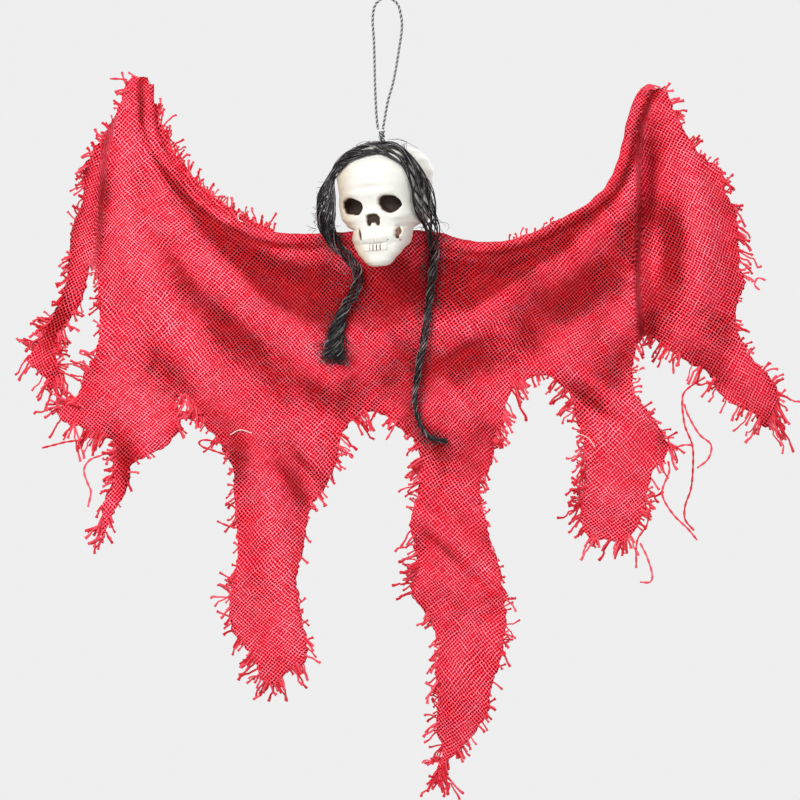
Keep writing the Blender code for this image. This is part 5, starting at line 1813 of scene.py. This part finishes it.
@dataclass
class Hair:
    """One hank of charcoal yarns laid over the crown, with its two ends hanging on either side."""

    skull: BVHTree
    cloth: BVHTree
    fibre_radius: float = 0.17 * MM
    yarns: int = 17
    yarn_strands: int = 8
    part_strands: int = 9
    left_part: Pair = (0.0, 0.44)
    right_part: Pair = (0.6, 1.0)
    lock_twist: float = 21.0 * MM
    fuzz: int = 420
    seed: int = 23

    def spine(self) -> tuple[Rows, Rows, Rows]:
        """Returns the hank's centre line in front view, its half width and its thickness there."""
        rows = smooth_line(np.array([(*front(x, z), w * STEP) for x, z, w in HAIR_ROUTE]), 2.0 * MM)
        crown = ramp(CROWN_Z - 34 * MM, CROWN_Z - 6 * MM, rows[:, 1])
        return rows[:, :2], rows[:, 2], (4.0 - 2.2 * crown) * MM

    def seat(self, x: float, z: float, lift: float) -> tuple[float, float, float]:
        """Returns the place of a fibre that lies on the skull, on the cloth or round the crown's edge.

        Args:
            x: its X.
            z: its Z.
            lift: how far it stands off.

        Returns:
            Its X, Y and Z, with a Y of nan where nothing is behind it.
        """
        origin = Vector((x, RAY_START_Y, z))
        on_skull, on_cloth = (tree.ray_cast(origin, BACKWARDS) for tree in (self.skull, self.cloth))
        if on_skull[0] and on_skull[1].y < -0.3:
            return tuple(on_skull[0] - BACKWARDS * lift)
        if z > SKULL_BASE_Z + 4 * MM:
            spot, normal, _, away = self.skull.find_nearest(Vector((x, -3 * MM, z)))
            if away < 9 * MM or on_skull[0]:
                return tuple(spot + normal * max(lift, min(away, lift + 1.2 * MM)))
        if on_cloth[0]:
            return x, on_cloth[0].y - lift, z
        return x, math.nan, z

    def settle(self, line: Rows, lift: Rows) -> Rows:
        """Lays a fibre on what is behind it, easing it over hollows and free spans.

        Args:
            line: rows of X and Z.
            lift: how far each point stands off.

        Returns:
            Rows of X, Y and Z.
        """
        rows = np.array([self.seat(x, z, h) for (x, z), h in zip(line, lift)])
        known = ~np.isnan(rows[:, 1])
        if not known.any():
            rows[:, 1] = -2 * MM
        elif not known.all():
            rows[:, 1] = np.interp(np.arange(len(rows)), np.flatnonzero(known), rows[known, 1])
        rough = rows[:, 1].copy()
        for _ in range(6):
            rows[1:-1] = (rows[:-2] + 2 * rows[1:-1] + rows[2:]) / 4
            rows[:, 1] = np.minimum(rows[:, 1], rough)
        return rows

    def strand(self, yarn: Triple, rng: np.random.Generator,
               only: Optional[Pair] = None) -> Optional[Rows]:
        """Returns one strand of a yarn from the left end of the hank to the right one.

        Args:
            yarn: the yarn's phase, its way round and its share of the radius.
            rng: the source of the strand's own place.
            only: the stretch of the route that it keeps to, if it doesn't run the whole way.

        Returns:
            Rows of X, Y and Z, or nothing where the strand is too short.
        """
        phase, way, share = yarn
        spine, half, thick = self.spine()
        along = tangents(spine)
        across = -left_of(along)
        travelled = distance_along(spine)
        crown = ramp(CROWN_Z - 56 * MM, CROWN_Z - 36 * MM, spine[:, 1])
        left_side = (ramp(2 * MM, -10 * MM, spine[:, 0])
                     * ramp(CROWN_Z - 4 * MM, CROWN_Z - 16 * MM, spine[:, 1]))
        twist = (1 - crown) / self.lock_twist + crown * (1 + 0.6 * way) / (120 * MM)
        own_twist = (1 - crown) / (7.5 * MM) + crown / (26 * MM)
        turns, own_turns = (np.concatenate([[0], np.cumsum(rate[1:] * np.diff(travelled))])
                            for rate in (twist, own_twist))
        turn = phase + FULL_TURN * turns
        own = rng.uniform(0, FULL_TURN) + FULL_TURN * own_turns
        loose = 0.42 * MM * rng.uniform(0.5, 1.5)
        share = share + 0.12 * np.sin(travelled / (9 * MM) + phase * 3)
        side = share * np.sin(turn) * (half - 0.3 * MM) + loose * (1 + 1.8 * crown * left_side) * np.sin(own)
        limit = half + (3.3 - 3.2 * crown) * MM
        top = ramp(CROWN_Z - 14 * MM, CROWN_Z - 4 * MM, spine[:, 1])
        brow = ramp(4 * MM, 12 * MM, spine[:, 0]) * ramp(CROWN_Z - 36 * MM, CROWN_Z - 22 * MM, spine[:, 1])
        side = np.clip(side, -limit * (1 - 0.35 * top - 0.15 * left_side), limit * (1 - 0.6 * brow))
        side = side + 1.6 * MM * left_side * bump(spine[:, 1] - CROWN_Z + 35 * MM, 11 * MM)
        lift = (0.5 + 0.5 * share * np.cos(turn)) * thick + loose * 0.7 * (1 + np.cos(own)) + 0.2 * MM
        brush = ramp(34 * MM, 0.0, travelled)
        curl = rng.uniform(0.3, 2.4) * MM * np.sin(travelled / (rng.uniform(1.8, 4.2) * MM)
                                                   + rng.uniform(0, 6))
        side = side + brush * (rng.normal(0, 1.7) * MM + curl)
        wobble = 0.16 * MM * np.sin(travelled * rng.uniform(500, 1500) + phase)
        start, stop = int(rng.gamma(1.5, 2.4)), len(spine) - int(abs(rng.normal(0, 5.0)))
        if only is not None:
            start, stop = max(start, int(only[0] * len(spine))), min(stop, int(only[1] * len(spine)))
        line = (spine + across * (side + wobble)[:, None])[start:stop]
        return self.settle(line, lift[start:stop]) if len(line) > 6 else None

    def flyaways(self, rng: np.random.Generator) -> list[Rows]:
        """Returns the stray hairs that the photograph shows and shorter fuzz all along the hank.

        Args:
            rng: the source of the fuzz.

        Returns:
            Rows of X, Y and Z for each one.
        """
        strays = []
        for places in STRAY_HAIRS:
            line = smooth_line(front_line(places), 0.8 * MM)
            strays.append(self.settle(line, np.linspace(2.6, 1.0, len(line)) * MM))
        spine, half, thick = self.spine()
        along = tangents(spine)
        across = -left_of(along)
        for _ in range(self.fuzz):
            at = int(rng.uniform(0, 1) * (len(spine) - 1))
            on_head = spine[at, 1] > SKULL_BASE_Z + 2 * MM
            side = -1.0 if on_head else float(rng.choice([-1, 1]))
            reach, bend = rng.uniform(2.0, 3.2 if on_head else 6.0) * MM, rng.normal(0, 1.4)
            out = (across[at] * side * rng.uniform(0.3, 1.0)
                   + along[at] * rng.choice([-1, 1]) * rng.uniform(0.2, 1))
            heading = math.atan2(out[1], out[0])
            angle = heading + bend * np.linspace(0, 1, 7)
            walk = np.cumsum(np.stack([np.cos(angle), np.sin(angle)], axis=1) * reach / 7, axis=0)
            line = spine[at] + across[at] * side * half[at] * (0.5 if on_head else 0.75) + walk
            if not on_head and any(self.skull.ray_cast(Vector((x, RAY_START_Y, z)), BACKWARDS)[0]
                                   for x, z in line[::2]):
                continue
            strays.append(self.settle(line, np.full(7, thick[at] * rng.uniform(0.3, 0.9))))
        return strays

    def build(self) -> Piece:
        """Builds every strand of the hank as one mesh.

        Returns:
            The hair.
        """
        rng = np.random.default_rng(self.seed)
        strands, tones = [], []
        for index in range(self.yarns):
            yarn = (FULL_TURN * index / self.yarns * 2.4, 1.0 if index % 2 else -1.0,
                    0.45 + 0.5 * math.sqrt((index % 5 + 0.5) / 5))
            for number in range(self.yarn_strands + self.part_strands):
                part = self.left_part if number % 3 else self.right_part
                made = self.strand(yarn, rng, None if number < self.yarn_strands else part)
                if made is not None:
                    strands.append(made)
                    # rare pale strands, partly the fibre's own grey and partly painted glints
                    tones.append(float(rng.random() ** 8))
        strays = self.flyaways(rng)
        girths = [np.full(len(line), rng.uniform(0.7, 1.2) + 0.9 * tone)
                  for line, tone in zip(strands, tones)]
        girths += [np.linspace(0.8, 0.45, len(line)) for line in strays]
        tones += [float(rng.random() ** 2 * 0.6) for _ in strays]
        mesh = strand_mesh("hair_strands", strands + strays, girths, tones)
        hair = StrandTree("hair_fibres", self.fibre_radius, 3).run("hair_hank", mesh, FibreFinish().build())
        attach(hair, "root")
        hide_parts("hair")
        LOG.info("hair: %d strands, %d faces", len(strands + strays), len(hair.data.polygons))
        return hair


LOOSE_THREADS = (
    ((706, 377), (686, 391), (683, 404), (684, 415), (686, 427), (693, 445), (694, 463), (692, 488),
     (686, 506), (686, 520), (695, 531)),
    ((684, 404), (688, 415), (699, 434), (711, 445), (708, 459), (697, 468)),
    ((668, 461), (669, 472), (662, 493), (672, 513), (688, 529), (697, 540)),
    ((672, 450), (677, 447), (684, 445), (692, 445)),
    ((651, 499), (647, 524), (637, 541), (636, 568)),
    ((640, 543), (647, 557), (652, 574), (650, 582), (640, 582)),
    ((116, 449), (102, 455), (90, 460), (84, 470), (88, 484), (91, 492), (88, 507)),
    ((397, 420), (391, 432), (386, 440)), ((236, 528), (226, 525), (217, 521)),
    ((680, 352), (674, 360), (674, 374)),
    ((643, 92), (648, 87), (654, 86), (660, 88)), ((645, 95), (650, 89), (656, 90)),
    ((640, 91), (646, 86), (652, 85)), ((642, 93), (647, 89), (652, 88)), ((643, 90), (648, 88), (654, 88)),
    ((126, 84), (123, 76), (122, 72)), ((127, 80), (118, 79), (110, 79)),
    ((127, 90), (122, 93), (118, 93)),
    ((226, 445), (213, 441), (203, 440), (199, 443), (203, 447), (212, 450), (226, 455)),
    ((82, 440), (66, 442), (54, 445), (42, 448)),
    ((766, 280), (758, 278), (755, 285), (760, 290)),
    ((183, 394), (184, 402), (181, 410), (177, 416)), ((186, 394), (188, 403), (186, 412), (182, 419)),
    ((188, 395), (190, 405), (189, 414), (186, 421)), ((190, 397), (193, 407), (193, 416), (190, 425)),
    ((192, 399), (196, 409), (197, 418), (196, 429)), ((184, 395), (182, 404), (178, 411)),
    ((187, 396), (192, 409), (194, 419), (199, 428)), ((189, 396), (191, 410), (188, 419)),
    ((194, 403), (200, 412), (202, 423)), ((181, 396), (179, 403), (174, 409)),
)
PALE_FIBRES = (
    ((230, 435), (240, 430), (252, 433)),
    ((579, 434), (588, 438), (595, 447)),
    ((636, 361), (639, 369), (636, 379)),
    ((241, 212), (238, 215), (239, 220), (243, 222)),
)


@dataclass
class LooseThreads:
    """Long threads that hang from the cloth, and a few pale fibres caught on it."""

    drape: Drape
    cloth: BVHTree

    def laid(self, line: Line, lift: float) -> Rows:
        """Returns a thread in front of the cloth where there is cloth, and level with it elsewhere.

        Args:
            line: front-view places.
            lift: how far it stands off.

        Returns:
            Rows of X, Y and Z.
        """
        flat = smooth_line(front_line(line), 0.9 * MM)
        ys = []
        for x, z in flat:
            hit = self.cloth.ray_cast(Vector((x, RAY_START_Y, z)), BACKWARDS)[0]
            ys.append(hit.y - lift if hit else math.nan)
        ys = np.array(ys)
        known = ~np.isnan(ys)
        if known.any():
            ys = np.interp(np.arange(len(ys)), np.flatnonzero(known), ys[known])
        else:
            ys = np.full(len(ys), float(self.drape.depth(flat[:1])[0]))
        return np.stack([flat[:, 0], ys, flat[:, 1]], axis=1)

    def build(self) -> list[Piece]:
        """Builds the long threads and the pale fibres.

        Returns:
            Both pieces.
        """
        rng = np.random.default_rng(61)
        red = [self.laid(line, 0.5 * MM) for line in LOOSE_THREADS]
        girths = [1 + 0.25 * np.sin(np.arange(len(line)) * 1.3) for line in red]
        mesh = strand_mesh("loose_lines", red, girths, [float(rng.uniform(0.4, 0.9)) for _ in red])
        tree = StrandTree("loose_thread", 0.56 * MM, 6)
        loose = tree.run("loose_threads", mesh, ThreadFinish().build())
        pale = [self.laid(line, 0.35 * MM) for line in PALE_FIBRES]
        mesh = strand_mesh("pale_lines", pale, [np.ones(len(line)) for line in pale], [1.0] * len(pale))
        finish = ThreadFinish("pale_fibre", (0.62, 0.52, 0.45), (0.92, 0.86, 0.80)).build()
        fibres = StrandTree("pale_fibre", 0.24 * MM, 5).run("pale_fibres", mesh, finish)
        for piece in (loose, fibres):
            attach(piece, "root")
        LOG.info("loose threads: %d red, %d pale", len(red), len(pale))
        return [loose, fibres]


@dataclass
class Studio:
    """Pale floor and backdrop, soft lamps and the camera."""

    lens: float = 360.0
    sensor: float = 36.0
    frame_width: float = 0.4
    centre: Pair = (0.007, -0.2)
    floor_z: float = -1.2
    floor_radius: float = 12.0
    floor_sides: int = 96
    ambient: float = 0.46

    def camera(self) -> Piece:
        """Places the camera straight in front of the robe.

        Returns:
            The camera.
        """
        data = bpy.data.cameras.new("front_camera")
        data.lens = self.lens
        data.sensor_width = self.sensor
        distance = self.frame_width * self.lens / self.sensor
        camera = linked("front_camera", data)
        camera.location = (self.centre[0], WIRE_BACK - distance, self.centre[1])
        camera.rotation_euler = (math.pi / 2, 0, 0)
        bpy.context.scene.camera = camera
        return camera

    def lamp(self, name: str, place: Triple, size: float, power: float) -> None:
        """Adds a square soft lamp that faces the robe.

        Args:
            name: its name.
            place: where it stands.
            size: its side.
            power: its power in watts.
        """
        data = bpy.data.lights.new(name, "AREA")
        data.shape, data.size, data.energy = "SQUARE", size, power
        lamp = linked(name, data)
        lamp.location = place
        aim = Vector((self.centre[0], 0, self.centre[1])) - lamp.location
        lamp.rotation_euler = aim.to_track_quat("-Z", "Y").to_euler()

    def floor(self, paper: PaperFinish) -> Piece:
        """Builds the round floor that the decoration hangs above.

        Args:
            paper: its finish.

        Returns:
            The floor.
        """
        turn = FULL_TURN * np.arange(self.floor_sides) / self.floor_sides
        rim = np.stack([np.cos(turn), np.sin(turn), np.zeros(self.floor_sides)], axis=1) * self.floor_radius
        face = list(range(self.floor_sides))
        floor = mesh_piece("pale_floor", rim + (0, 0, self.floor_z), [face], paper.build())
        return floor

    def world(self, level: float) -> None:
        """Makes the soft light from all round, which is seen as a plain pale level.

        Args:
            level: how bright it looks where it is seen.
        """
        world = bpy.data.worlds.new("soft_room")
        world.use_nodes = True
        writer = NodeWriter(world.node_tree)
        background = world.node_tree.nodes["Background"]
        background.inputs["Color"].default_value = (1, 1, 1, 1)
        strength = writer.seen() * (level - self.ambient) + self.ambient
        world.node_tree.links.new(strength.socket, background.inputs["Strength"])
        bpy.context.scene.world = world

    def build(self) -> None:
        """Builds the camera, the lamps, the world and the floor."""
        paper = PaperFinish()
        self.camera()
        self.lamp("key_lamp", (-0.62, -0.95, 0.5), 0.5, 13.5)
        self.lamp("fill_lamp", (0.95, -1.2, 0.1), 1.0, 5.5)
        self.lamp("back_lamp", (0.6, 1.3, 0.4), 1.0, 8.0)
        self.world(paper.level)
        self.floor(paper)
        bpy.context.scene.view_settings.view_transform = "Standard"


def dress_solids() -> None:
    """Gives the wire and the glue their finishes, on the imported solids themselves."""
    wire, glue = WireFinish().build(), GlueFinish().build()
    for name, material in (("arm_wire", wire), ("neck_glue", glue), ("left_tip_glue", glue),
                           ("right_tip_glue", glue)):
        bpy.data.objects[name].material_slots[0].material = material
        LOG.info("%s: dressed as %s", name, material.name)


def main() -> None:
    """Builds the scene: camera and cord first, then the skull, the robe, the hair and the loose threads."""
    logging.basicConfig(level=logging.INFO, format="%(name)s: %(message)s")
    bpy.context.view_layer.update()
    Studio().build()
    TwistedCord().build()
    skull = Skull().build()
    wire = ArmWire()
    drape = Drape(wire)
    robe = Robe(wire, drape).build()
    cloth = surface_of(robe[0])
    Hair(surface_of(skull), cloth).build()
    LooseThreads(drape, cloth).build()
    dress_solids()


if __name__ == "__main__":
    main()
